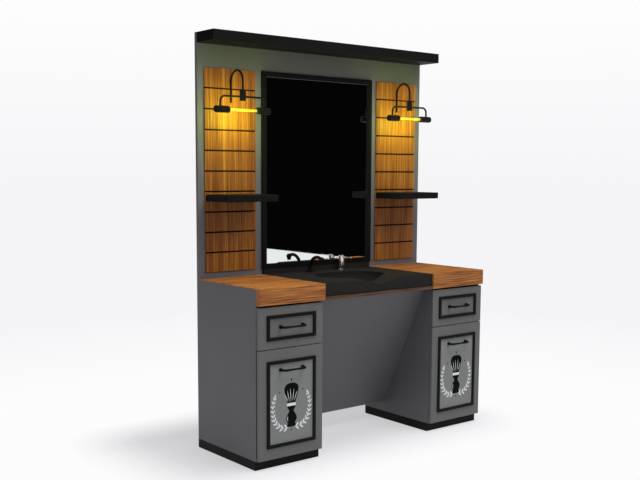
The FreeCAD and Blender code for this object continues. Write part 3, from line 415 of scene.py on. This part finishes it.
# %% [markdown]
# ## Stained softwood
#
# The slats and the worktop are stained softwood under clear lacquer. Three things make
# wood look like wood: growth rings, which show as long streaks a few millimetres wide,
# broad bands of lighter and darker stain, and fine pores that run with them. All are noise
# that is stretched along the grain. On the slats the grain runs upwards in long, fine
# streaks and carries on from board to board, because they were cut from one sheet. On the
# worktop it runs along the width. The bands have only a fifth of the say, so the boards
# stay even. A ramp of four stain tones, dark to light, gives the streaks their colour.
# Lacquer has an IOR of about 1.5 and makes a thin clear coat over a duller ground.

# %% Wood materials
PORE_MM = 2.2
BAND_STREAKS = 8
BAND_SHARE = 0.2
GRAIN_UP = (1, 1, 1 / 90)
GRAIN_ACROSS = (1 / 40, 1 / 2, 1)
GRAIN_IN_DEPTH = (1, 1 / 40, 1)


def wood_material(name, stretch, tones, streak_mm, sheen=0.25):
    """Stained wood with its grain stretched along one axis, under clear lacquer."""
    material, tree, coords = new_material(name)
    along = add(
        tree, "ShaderNodeVectorMath", {0: coords, 1: stretch}, operation="MULTIPLY"
    ).outputs[0]
    streaks = add(
        tree, "ShaderNodeTexNoise",
        {
            "Vector": along, "Scale": 1 / (streak_mm * MM), "Detail": 5.0, "Roughness": 0.62,
            "Distortion": 0.1,
        },
    ).outputs["Fac"]
    bands = add(
        tree, "ShaderNodeTexNoise",
        {"Vector": along, "Scale": 1 / (BAND_STREAKS * streak_mm * MM), "Detail": 2.0},
    ).outputs["Fac"]
    pores = add(
        tree, "ShaderNodeTexNoise",
        {"Vector": along, "Scale": 1 / (PORE_MM * MM), "Detail": 4.0, "Roughness": 0.7},
    ).outputs["Fac"]
    figure = add(
        tree, "ShaderNodeMix", {0: BAND_SHARE, 2: streaks, 3: bands}, data_type="FLOAT"
    ).outputs[0]
    share = add(
        tree, "ShaderNodeMapRange", {"Value": figure, "From Min": 0.36, "From Max": 0.64}
    ).outputs["Result"]
    stain = add(tree, "ShaderNodeValToRGB", {0: share})
    stops = stain.color_ramp.elements
    while len(stops) < len(tones):
        stops.new(0.5)
    for index, tone in enumerate(tones):
        stops[index].position = index / (len(tones) - 1)
        stops[index].color = srgb(tone)
    stained = stain.outputs["Color"]
    pore_share = add(
        tree, "ShaderNodeMapRange",
        {"Value": pores, "From Min": 0.54, "From Max": 0.72, "To Min": 0.0, "To Max": 0.5},
    ).outputs["Result"]
    colour = add(
        tree, "ShaderNodeMix", {0: pore_share, 6: stained, 7: srgb(tones[0])}, data_type="RGBA"
    ).outputs[2]
    gloss = add(
        tree, "ShaderNodeMapRange", {"Value": pores, "To Min": 0.42, "To Max": 0.64}
    ).outputs["Result"]
    bump = add(
        tree, "ShaderNodeBump", {"Height": pores, "Strength": 0.18, "Distance": 0.4 * MM}
    ).outputs[0]
    finish_material(
        tree, Base_Color=colour, Roughness=gloss, IOR=1.5, Specular_IOR_Level=sheen, Normal=bump,
        Coat_Weight=0.12, Coat_Roughness=0.3,
    )
    return material


SLAT_STAINS = ("4c240c", "744011", "8d571b", "aa782b")
WORKTOP_STAINS = ("4e290d", "854f24", "a46831", "bf8144")
# The bearer under the basin takes a darker copy of the worktop stains with less sheen: painted
# shade, as if it lay in shade below the basin.
SHADED_BEARER_STAINS = ("2a1a10", "4c3424", "5e4330", "725540")
slat_pine = wood_material("slat_pine", GRAIN_UP, SLAT_STAINS, 4.2)
worktop_pine = wood_material("worktop_pine", GRAIN_ACROSS, WORKTOP_STAINS, 6.0)
bearer_pine_painted_shade = wood_material("bearer_pine_painted_shade", GRAIN_ACROSS, SHADED_BEARER_STAINS, 6.0, 0.1)
print("wood materials:", slat_pine.name, worktop_pine.name, bearer_pine_painted_shade.name)

# %% [markdown]
# ## Birch plywood
#
# The drawer boxes are pale birch plywood. Its face is smooth with faint wavy figure, and
# its colour is even, so it is the same kind of stretched noise with less contrast.

# %% Birch plywood
BIRCH_TONES = ("b08d5e", "c8a878", "d2b488", "d9bd92")
birch_plywood = wood_material("birch_plywood", GRAIN_IN_DEPTH, BIRCH_TONES, 16.0)
print("drawer boxes:", birch_plywood.name)

# %% [markdown]
# ## Cast stone
#
# The basin is cast in one piece from black pigmented stone and resin, and its skin is
# sanded to a soft matt. That gives the eye a broad, weak sheen, a faint cloudiness in the
# black, and a bloom of dried water that lifts the roughness in spots. Resin has an IOR of
# about 1.5, and the fine sanding hides most of its mirror reflection.

# %% Cast stone
CLOUD_MM = 90.0
WATER_SPOT_MM = 9.0

cast_stone, tree, coords = new_material("cast_stone")
cloud = add(
    tree, "ShaderNodeTexNoise", {"Vector": coords, "Scale": 1 / (CLOUD_MM * MM), "Detail": 3.0}
).outputs["Fac"]
spots = add(
    tree, "ShaderNodeTexNoise",
    {"Vector": coords, "Scale": 1 / (WATER_SPOT_MM * MM), "Detail": 5.0, "Roughness": 0.7},
).outputs["Fac"]
bloom = add(
    tree, "ShaderNodeMapRange",
    {"Value": spots, "From Min": 0.45, "From Max": 0.75, "To Min": 0.5, "To Max": 0.66},
).outputs["Result"]
tone = add(
    tree, "ShaderNodeMix", {0: cloud, 6: srgb("1b1a19"), 7: srgb("252322")}, data_type="RGBA"
).outputs[2]
ripple = add(
    tree, "ShaderNodeBump", {"Height": spots, "Strength": 0.06, "Distance": 0.4 * MM}
).outputs[0]
finish_material(
    tree, Base_Color=tone, Roughness=bloom, IOR=1.5, Specular_IOR_Level=0.14, Normal=ripple
)
print("basin:", cast_stone.name)

# %% [markdown]
# ## Metals and the mirror
#
# The handles, lamp arms and spout are steel tube with a black powder coat, which is
# plastic melted on: IOR 1.5, a fine pebble, a dull sheen. The mixer and the waste are
# chrome plate, a metal with almost no roughness. The slides and screws are zinc plated.
# The long hinges are given a near-black steel finish, which paints shade into the seam
# beside a door, so that it stays dark. The mirror is silvered float glass, flat and clean,
# with a faint green in its depth.

# %% Powder coat, chrome, zinc and mirror
PEBBLE_MM = 1.6
HAZE_MM = 180.0


def powder_coat(name, tone, pale, roughness):
    """Powder-coated steel: pebbled plastic skin."""
    material, tree, coords = new_material(name)
    pebble = add(
        tree, "ShaderNodeTexNoise",
        {"Vector": coords, "Scale": 1 / (PEBBLE_MM * MM), "Detail": 2.0},
    ).outputs["Fac"]
    shade = add(
        tree, "ShaderNodeMix", {0: pebble, 6: srgb(tone), 7: srgb(pale)}, data_type="RGBA"
    ).outputs[2]
    bump = add(
        tree, "ShaderNodeBump", {"Height": pebble, "Strength": 0.2, "Distance": 0.2 * MM}
    ).outputs[0]
    finish_material(
        tree, Base_Color=shade, Roughness=roughness, IOR=1.5, Specular_IOR_Level=0.12, Normal=bump
    )
    return material


def plated_metal(name, tone, low, high, scratch_mm, stretch):
    """Plated metal: roughness from fine polishing lines along one axis."""
    material, tree, coords = new_material(name)
    along = add(
        tree, "ShaderNodeVectorMath", {0: coords, 1: stretch}, operation="MULTIPLY"
    ).outputs[0]
    lines = add(
        tree, "ShaderNodeTexNoise",
        {"Vector": along, "Scale": 1 / (scratch_mm * MM), "Detail": 3.0},
    ).outputs["Fac"]
    rough = add(
        tree, "ShaderNodeMapRange", {"Value": lines, "To Min": low, "To Max": high}
    ).outputs["Result"]
    bump = add(
        tree, "ShaderNodeBump", {"Height": lines, "Strength": 0.03, "Distance": 0.1 * MM}
    ).outputs[0]
    finish_material(tree, Base_Color=srgb(tone), Metallic=1.0, Roughness=rough, Normal=bump)
    return material


black_powder_coat = powder_coat("black_powder_coat", "0a0a0a", "171616", 0.42)
black_moulding = powder_coat("black_moulding", "0b0b0b", "161616", 0.5)
chrome_plate = plated_metal("chrome_plate", "e6e7ea", 0.03, 0.09, 1.5, GRAIN_UP)
zinc_plate = plated_metal("zinc_plate", "b9bcc0", 0.25, 0.45, 1.0, GRAIN_IN_DEPTH)
# Near-black steel for the hinges only: painted shade, so the seam beside each door reads dark.
blackened_steel = plated_metal("blackened_steel", "1b1b1d", 0.4, 0.6, 1.0, GRAIN_UP)

silvered_glass, tree, coords = new_material("silvered_glass")
haze = add(
    tree, "ShaderNodeTexNoise", {"Vector": coords, "Scale": 1 / (HAZE_MM * MM), "Detail": 4.0}
).outputs["Fac"]
wiped = add(
    tree, "ShaderNodeMapRange",
    {"Value": haze, "From Min": 0.4, "From Max": 0.8, "To Min": 0.0, "To Max": 0.02},
).outputs["Result"]
finish_material(tree, Base_Color=srgb("f0f4f2"), Metallic=1.0, Roughness=wiped)
print("metals:", black_powder_coat.name, chrome_plate.name, zinc_plate.name, silvered_glass.name)

# %% [markdown]
# ## Lamps that glow
#
# Each lamp is a glass tube with a long warm filament, tinted yellow. Lit, the tube is an
# even clear yellow with slow changes along it, where the filament sags nearer the glass,
# so its glow is a slow noise of 45 mm. The light that it throws comes from three small
# point lights at its lower side, which is cleaner to render than a glowing mesh, and from
# one broad soft light in front that stands for what the bright boards throw back. They
# hang on the lamp's body, so the glow turns with the lamp, and the glass casts no shadow.

# %% Lamp glass and lamp light
GLOW_WATTS = 1.0
HALO_WATTS = 2.2
HALO_REACH = 0.2
GLOW_DROP = 0.025
GLOW_RADIUS = 0.012
HALO_RADIUS = 0.12
GLOW_STEPS = (-0.5, 0.0, 0.5)
GLOW_COLOUR = srgb("e2ff48")[:3]
HALO_COLOUR = srgb("f0ff70")[:3]
SAG_MM = 45.0

lamp_glow, tree, coords = new_material("lamp_glow")
sag = add(
    tree, "ShaderNodeTexNoise", {"Vector": coords, "Scale": 1 / (SAG_MM * MM), "Detail": 3.0}
).outputs["Fac"]
warmth = add(
    tree, "ShaderNodeMapRange", {"Value": sag, "From Min": 0.35, "From Max": 0.65}
).outputs["Result"]
heat = add(
    tree, "ShaderNodeMix", {0: warmth, 6: srgb("e6cb22"), 7: srgb("fdf050")}, data_type="RGBA"
).outputs[2]
finish_material(
    tree, Base_Color=srgb("3a3208"), Roughness=0.12, IOR=1.5,
    Emission_Color=heat, Emission_Strength=1.0,
)


def lamp_light(side, place, watts, radius, colour):
    """A point light that turns with a lamp and stays out of reflections."""
    light = bpy.data.lights.new("lamp_light_" + side, "POINT")
    light.energy = watts
    light.color = colour
    light.shadow_soft_size = radius
    made = bpy.data.objects.new("lamp_light_" + side, light)
    made.location = place
    made.visible_glossy = False
    made.parent = frame["bodies"]["lamp_" + side]
    bpy.context.scene.collection.objects.link(made)


for side in SIDES:
    low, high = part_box("lamp_tube_" + side)
    centre = (Vector(low) + Vector(high)) / 2
    reach = (high[0] - low[0]) / 2
    NODES["lamp_tube_" + side].visible_shadow = False
    for step in GLOW_STEPS:
        place = centre + Vector((step * reach, 0, -GLOW_DROP))
        lamp_light(side, place, GLOW_WATTS, GLOW_RADIUS, GLOW_COLOUR)
    place = centre - Vector((0, HALO_REACH, GLOW_DROP))
    lamp_light(side, place, HALO_WATTS, HALO_RADIUS, HALO_COLOUR)
print("lamp lights:", len(GLOW_STEPS) * GLOW_WATTS + HALO_WATTS, "W each side")

# %% [markdown]
# ## Dress the frame's solids
#
# Each solid takes its finish from the name of its material slot in the record, so one
# table of slot to material dresses the whole station. Only the hinges differ from the
# other steel, so they are named.

# %% Dress the solids
FINISHES = {
    "grey_board": grey_melamine,
    "front_board": painted_front,
    "black_board": black_laminate,
    "black_trim": black_lacquer,
    "slat_wood": slat_pine,
    "counter_wood": worktop_pine,
    "bearer_wood": bearer_pine_painted_shade,
    "mirror": silvered_glass,
    "black_metal": black_powder_coat,
    "black_plastic": black_moulding,
    "lamp_glass": lamp_glow,
    "birch_ply": birch_plywood,
    "steel": zinc_plate,
    "black_ceramic": cast_stone,
    "chrome": chrome_plate,
}
# The hinges take the near-black steel that paints shade into the door seams.
HINGES = ("carcass_hinge_leaves", "door_hinge_leaf_left", "door_hinge_leaf_right")
for part in frame["record"]["subparts"]:
    finish = blackened_steel if part["node"] in HINGES else FINISHES[part["material_slot"]]
    for slot in NODES[part["node"]].material_slots:
        slot.link = "OBJECT"
        slot.material = finish

# %% [markdown]
# ## New pieces
#
# Every new piece is a mesh that rides on a body and carries a finish of its own. Thin
# pieces are flat outlines given a thickness, so one helper makes a plate from an outline in
# the plane of the fronts. Round pieces are turned: another helper spins half a section about
# an upright line, as a lathe would cut it. Two more make a piece of a filled mesh or of a
# list of plates, and the last draws the outline of a sheet with rounded corners.

# %% Plates and turned pieces


def plate(mesh, outline, back_y, front_y):
    """Adds a plate to a bmesh: an outline of (x, z) points between two depths."""
    rings = [[mesh.verts.new((x, y, z)) for x, z in outline] for y in (front_y, back_y)]
    caps = [mesh.faces.new(rings[0]), mesh.faces.new(rings[1][::-1])]
    for index in range(len(outline)):
        nearby = index - 1
        mesh.faces.new((rings[0][index], rings[0][nearby], rings[1][nearby], rings[1][index]))
    for cap in caps:
        cap.normal_update()
    bmesh.ops.triangulate(mesh, faces=caps, ngon_method="EAR_CLIP")


def turned(mesh, centre, profile, steps=32):
    """Adds a turned ring to a bmesh: a closed (radius, z) profile about an upright line."""
    across, deep, height = centre
    ring = [mesh.verts.new((across + radius, deep, height + z)) for radius, z in profile]
    edges = [mesh.edges.new((ring[index - 1], ring[index])) for index in range(len(ring))]
    bmesh.ops.spin(
        mesh, geom=ring + edges, cent=centre, axis=(0, 0, 1), angle=math.tau, steps=steps,
        use_merge=True,
    )


def as_piece(name, mesh, material, body, smooth=False):
    """Turns a filled bmesh into a piece on a body, with a finish slot."""
    bmesh.ops.recalc_face_normals(mesh, faces=mesh.faces)
    data = bpy.data.meshes.new(name)
    mesh.to_mesh(data)
    mesh.free()
    if smooth:
        data.shade_smooth()
    data.materials.append(material)
    made = bpy.data.objects.new(name, data)
    bpy.context.scene.collection.objects.link(made)
    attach(made, body)


def new_piece(name, plates, material, body):
    """One piece made of (outline, back_y, front_y) plates."""
    mesh = bmesh.new()
    for outline, back_y, front_y in plates:
        plate(mesh, outline, back_y, front_y)
    as_piece(name, mesh, material, body)


def rounded_rectangle(low_x, high_x, low_z, high_z, radius, steps=4):
    """The outline of a sheet with rounded corners."""
    outline = []
    middles = (
        (high_x - radius, high_z - radius), (low_x + radius, high_z - radius),
        (low_x + radius, low_z + radius), (high_x - radius, low_z + radius),
    )
    for quarter, (x, z) in enumerate(middles):
        for step in range(steps + 1):
            angle = math.radians(90 * (quarter + step / steps))
            outline.append((x + radius * math.cos(angle), z + radius * math.sin(angle)))
    return outline


print("plate and lathe helpers ready")

# %% [markdown]
# ## Painted shade in the slat grooves
#
# The ten boards beside the mirror are laid with gaps, and at the bottom of each gap lies a
# thin dark brown sheet that paints the shade of the groove, so that the groove reads as a
# thin dark line and not as lit grey panel. The sheet is less than half a millimetre thick.
# Its places come from the boards' own corners: a groove lies between two heights that
# follow one another, where no face of the boards crosses.

# %% Painted groove shade
SHADE_SHEET_THICKNESS = 0.4 * MM
SHADE_SHEET_CLEARANCE = 0.2 * MM
SHADE_MOTTLE_MM = 1.5

# Dark brown sheets in the grooves, with a slight mottle: painted shade of the grooves.
groove_shade_sheet, tree, coords = new_material("groove_shade_sheet")
shade_mottle = add(
    tree, "ShaderNodeTexNoise", {"Vector": coords, "Scale": 1 / (SHADE_MOTTLE_MM * MM), "Detail": 4.0}
).outputs["Fac"]
groove_shade_colour = add(
    tree, "ShaderNodeMix", {0: shade_mottle, 6: srgb("120a05"), 7: srgb("21140b")}, data_type="RGBA"
).outputs[2]
finish_material(tree, Base_Color=groove_shade_colour, Roughness=0.9, IOR=1.5, Specular_IOR_Level=0.1)

for side in SIDES:
    slats = NODES["wood_slats_" + side].data
    heights = sorted({round(vertex.co.z, 4) for vertex in slats.vertices})
    spans = []
    for face in slats.polygons:
        levels = [slats.vertices[index].co.z for index in face.vertices]
        spans.append((min(levels), max(levels)))
    gaps = [
        (foot + SHADE_SHEET_CLEARANCE, top - SHADE_SHEET_CLEARANCE)
        for foot, top in zip(heights, heights[1:])
        if not any(lowest < (foot + top) / 2 < highest for lowest, highest in spans)
    ]
    low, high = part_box("wood_slats_" + side)
    shade_sheet_y = PANEL_FACE_Y - SHADE_SHEET_THICKNESS
    strips = []
    for foot, top in gaps:
        strip = [(low[0], foot), (high[0], foot), (high[0], top), (low[0], top)]
        strips.append((strip, PANEL_FACE_Y, shade_sheet_y))
    new_piece("painted_groove_shade_" + side, strips, groove_shade_sheet, "station")
    print("painted groove shade", side, len(strips), "strips")

# %% [markdown]
# ## The print on each door
#
# Inside its black trim each door carries a sheet of pale grey vinyl with a printed
# emblem: a shaving brush between two laurel sprigs, with a few diamonds. Vinyl is about a
# third of a millimetre thick. Ink has hardly any height at all, so it stands a tenth or
# two of a millimetre proud here, enough for a clean edge. Every shape is one flat outline
# that is given a thickness, and the outlines come from a few curves, which keeps them
# crisp at any distance where a texture would blur.

# %% Outlines of the emblem, in millimetres
LEAF_FULLNESS = 0.85
LEAF_LEAN = 0.7
LEAF_SHAPE = 0.33
FIRST_LEAF = 27
LEAF_TAPER = 0.55
STEM_WIDTH = 1.8
HAIR_WIDTH = 2.6


def smooth_line(points, steps=6):
    """Points on a Catmull-Rom curve through the given points."""
    ends = [points[0], *points, points[-1]]
    line = []
    for a, b, c, d in zip(ends, ends[1:], ends[2:], ends[3:]):
        for step in range(steps):
            t = step / steps
            line.append(tuple(
                0.5 * (
                    2 * q + (r - p) * t + (2 * p - 5 * q + 4 * r - s) * t ** 2
                    + (3 * q - p - 3 * r + s) * t ** 3
                )
                for p, q, r, s in zip(a, b, c, d)
            ))
    return [*line, points[-1]]


def mirrored(half):
    """A closed outline from its right half, which runs from top to bottom."""
    return half + [(-u, v) for u, v in reversed(half) if abs(u) > 0.01]


def leaf(foot, angle, length, width, steps=8):
    """A pointed leaf that grows from its foot in a direction."""
    side = [
        (length * t / steps, width / 2 * math.sin(math.pi * t / steps) ** LEAF_FULLNESS)
        for t in range(steps + 1)
    ]
    outline = side + [(u, -v) for u, v in reversed(side[1:-1])]
    c, s = math.cos(angle), math.sin(angle)
    return [(foot[0] + u * c - v * s, foot[1] + u * s + v * c) for u, v in outline]


def ribbon(line, width):
    """The outline of a band of even width along a line."""
    edges = ([], [])
    for index, (u, v) in enumerate(line):
        before, after = line[max(index - 1, 0)], line[min(index + 1, len(line) - 1)]
        heading = math.atan2(after[1] - before[1], after[0] - before[0])
        for edge, half in zip(edges, (width / 2, -width / 2)):
            edge.append((u - half * math.sin(heading), v + half * math.cos(heading)))
    return edges[0] + edges[1][::-1]


def diamond(u, v, size):
    """A small upright diamond."""
    return [(u, v + size), (u + 0.6 * size, v), (u, v - size), (u - 0.6 * size, v)]


BRUSH_EDGE = [(0, 104), (14, 103), (28, 98), (39, 87), (41, 70), (34, 42), (27, 22), (24, 9)]
BRISTLES = mirrored(smooth_line(BRUSH_EDGE))
HANDLE_TURNING = [
    (24, -7), (23, -14), (15, -24), (14, -32), (22, -44), (30, -58), (31, -70), (24, -84),
    (21, -90), (28, -98), (30, -106),
]
HANDLE = mirrored(smooth_line(HANDLE_TURNING))
FERRULE = [(25.5, 7.5), (25.5, -5.5), (-25.5, -5.5), (-25.5, 7.5)]
GLEAM = smooth_line([(-20, -52), (-25, -62), (-25, -70), (-20, -80)]) + [(-22, -70), (-22, -62)]
HAIRS = [
    leaf((u * 0.42, 14), math.radians(90 - u * 0.62), 70 - abs(u) * 0.5, HAIR_WIDTH)
    for u in (-44, -24, -6, 14, 34)
]

SPRIG = smooth_line([(16, -108), (60, -104), (92, -76), (106, -38), (108, 6), (98, 40)], 4)
SPRIG_LEAVES = []
for index in range(1, len(SPRIG) - 1, 2):
    before, here, after = SPRIG[index - 1:index + 2]
    heading = math.atan2(after[1] - before[1], after[0] - before[0])
    size = FIRST_LEAF - LEAF_TAPER * index
    for lean in (-LEAF_LEAN, LEAF_LEAN):
        angle = heading + lean
        foot = (here[0] - 2 * math.sin(angle) * 0.4, here[1] + 2 * math.cos(angle) * 0.4)
        SPRIG_LEAVES.append(leaf(foot, angle, size, LEAF_SHAPE * size))
STEM = ribbon(SPRIG, STEM_WIDTH)
RIGHT_SPRIG = [STEM, leaf(SPRIG[-1], math.radians(112), 22, 7.5), *SPRIG_LEAVES]
LEFT_SPRIG = [[(-u, v) for u, v in reversed(outline)] for outline in RIGHT_SPRIG]

DIAMONDS = [diamond(0, 119, 8), diamond(68, 66, 6), diamond(-68, 66, 6), diamond(0, -120, 6)]
DARK_SHAPES = [BRISTLES, HANDLE, *DIAMONDS]
PALE_SHAPES = [FERRULE, GLEAM, *HAIRS, *RIGHT_SPRIG, *LEFT_SPRIG]
print("emblem:", len(DARK_SHAPES), "dark and", len(PALE_SHAPES), "pale shapes")

# %% [markdown]
# Printed vinyl is a soft plastic with a satin face. Screen ink lies on it in an even
# film that is a little duller or shinier than the vinyl, with a slight mottle where the
# squeegee left it thinner. The mottle is about 4 mm across.

# %% Vinyl and ink, and the sheets on the doors
VINYL_THICKNESS = 0.3 * MM
DARK_INK_PROUD = 0.12 * MM
PALE_INK_PROUD = 0.2 * MM
TRIM_BAR = 15 * MM
SHEET_CLEARANCE = 0.3 * MM
SHEET_CORNER = 1.5 * MM
EMBLEM_DROP = 13 * MM
MOTTLE_MM = 4.0
MOTTLE_GLOSS = 0.08


def printed_film(name, tone, thin_tone, roughness, sheen=0.2):
    """Vinyl or ink with a slight mottle in its tone and gloss."""
    material, tree, coords = new_material(name)
    mottle = add(
        tree, "ShaderNodeTexNoise",
        {"Vector": coords, "Scale": 1 / (MOTTLE_MM * MM), "Detail": 5.0, "Roughness": 0.65},
    ).outputs["Fac"]
    colour = add(
        tree, "ShaderNodeMix", {0: mottle, 6: srgb(tone), 7: srgb(thin_tone)}, data_type="RGBA"
    ).outputs[2]
    gloss = add(
        tree, "ShaderNodeMapRange",
        {"Value": mottle, "To Min": roughness - MOTTLE_GLOSS, "To Max": roughness + MOTTLE_GLOSS},
    ).outputs["Result"]
    finish_material(tree, Base_Color=colour, Roughness=gloss, IOR=1.5, Specular_IOR_Level=sheen)
    return material


grey_vinyl = printed_film("grey_vinyl", "787a79", "818382", 0.55)
black_ink = printed_film("black_ink", "060707", "101111", 0.6, 0.05)
pale_ink = printed_film("pale_ink", "d6dbda", "e2e6e5", 0.5)

for side in SIDES:
    trim_low, trim_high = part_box("door_trim_" + side)
    inset = TRIM_BAR + SHEET_CLEARANCE
    low_x, high_x = trim_low[0] + inset, trim_high[0] - inset
    low_z, high_z = trim_low[2] + inset, trim_high[2] - inset
    door_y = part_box("door_panel_" + side)[0][1]
    vinyl_y = door_y - VINYL_THICKNESS
    sheet = rounded_rectangle(low_x, high_x, low_z, high_z, SHEET_CORNER)
    body = "door_" + side
    new_piece("door_vinyl_" + side, [(sheet, door_y, vinyl_y)], grey_vinyl, body)
    centre_x = (low_x + high_x) / 2
    centre_z = (low_z + high_z) / 2 - EMBLEM_DROP
    for ink, shapes, proud, slot in (
        (black_ink, DARK_SHAPES, DARK_INK_PROUD, "black_trim"),
        (pale_ink, PALE_SHAPES, PALE_INK_PROUD, "front_board"),
    ):
        placed = [
            ([(centre_x + u * MM, centre_z + v * MM) for u, v in shape], vinyl_y, vinyl_y - proud)
            for shape in shapes
        ]
        new_piece("door_emblem_" + ink.name + "_" + side, placed, ink, body)
    wide, tall = round((high_x - low_x) / MM), round((high_z - low_z) / MM)
    print("door print", side, "sheet", wide, "by", tall, "mm")

# %% [markdown]
# ## Hinge screws
#
# Each door hangs on a long hinge whose leaf is screwed to the back of the door. The
# screws are countersunk, so only a flat head shows, a fraction of a millimetre proud, with
# a cross-shaped recess for the driver. A head is a thin disc that carries four quarter
# pads, and the recess is the cross that the pads leave open. They are zinc plated, and
# they show when a door is open.

# %% Hinge screws
HINGE_SCREWS = 8
HEAD_RADIUS = 3.0 * MM
RECESS_HALF = 0.45 * MM
DISC_PROUD = 0.05 * MM
PAD_PROUD = 0.15 * MM
LEAF_THICKNESS = 0.8 * MM
LEAF_MIDDLE = 10.0 * MM
DISC_STEPS = 24
CORNER_REACH = 1.42


def quarter_pads(x, z, radius, half_slot, steps=6):
    """Four quarter discs that leave a cross between them."""
    pads = []
    swing = math.asin(half_slot / radius)
    for quarter in range(4):
        start, end = quarter * math.pi / 2 + swing, (quarter + 1) * math.pi / 2 - swing
        middle = (start + end) / 2
        reach = CORNER_REACH * half_slot
        corner = (x + reach * math.cos(middle), z + reach * math.sin(middle))
        angles = [start + (end - start) * step / steps for step in range(steps + 1)]
        arc = [(x + radius * math.cos(a), z + radius * math.sin(a)) for a in angles]
        pads.append([corner] + arc)
    return pads


for side, way in (("left", 1), ("right", -1)):
    low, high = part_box("door_hinge_leaf_" + side)
    outer = low[0] if side == "left" else high[0]
    x = outer + way * LEAF_MIDDLE
    leaf_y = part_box("door_panel_" + side)[1][1] + LEAF_THICKNESS
    plates = []
    for index in range(HINGE_SCREWS):
        z = low[2] + (high[2] - low[2]) * (index + 0.5) / HINGE_SCREWS
        turns = [math.tau * step / DISC_STEPS for step in range(DISC_STEPS)]
        disc = [(x + HEAD_RADIUS * math.cos(a), z + HEAD_RADIUS * math.sin(a)) for a in turns]
        plates.append((disc, leaf_y, leaf_y + DISC_PROUD))
        for pad in quarter_pads(x, z, HEAD_RADIUS, RECESS_HALF):
            plates.append((pad, leaf_y + DISC_PROUD, leaf_y + PAD_PROUD))
    new_piece("hinge_screws_" + side, plates, zinc_plate, "door_" + side)
    print("hinge screws", side, HINGE_SCREWS)

# %% [markdown]
# ## Aerator
#
# Under the spout's lip sits an aerator, a moulded black ring that holds a fine strainer.
# It is a small turned ring with a rounded edge. The strainer inside it is three fine
# ridges, turned in the same way. The whole aerator turns with the spout.

# %% Aerator
BALL_RADIUS = 14.5 * MM
RING_PROFILE = (
    (9.4, 0), (9.4, -1.0), (9.1, -1.5), (8.5, -1.7), (7.9, -1.5), (7.7, -1.0), (7.7, 0),
)
RIDGE_RADII = (6.2, 4.2, 2.2)
RIDGE_PROFILE = ((0.8, 0), (0.8, -0.3), (0.3, -0.7), (-0.2, -0.3), (-0.2, 0))

low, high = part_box("spout")
lip_z = min(v.co.z for v in NODES["spout"].data.vertices if v.co.y < low[1] + 2 * BALL_RADIUS)
mouth = Vector(((low[0] + high[0]) / 2, low[1] + BALL_RADIUS, lip_z))
mesh = bmesh.new()
turned(mesh, mouth, [(radius * MM, z * MM) for radius, z in RING_PROFILE])
for radius in RIDGE_RADII:
    turned(mesh, mouth, [((radius + out) * MM, z * MM) for out, z in RIDGE_PROFILE])
as_piece("spout_aerator", mesh, black_moulding, "spout", smooth=True)
print("aerator under the lip at", [round(v, 4) for v in mouth])
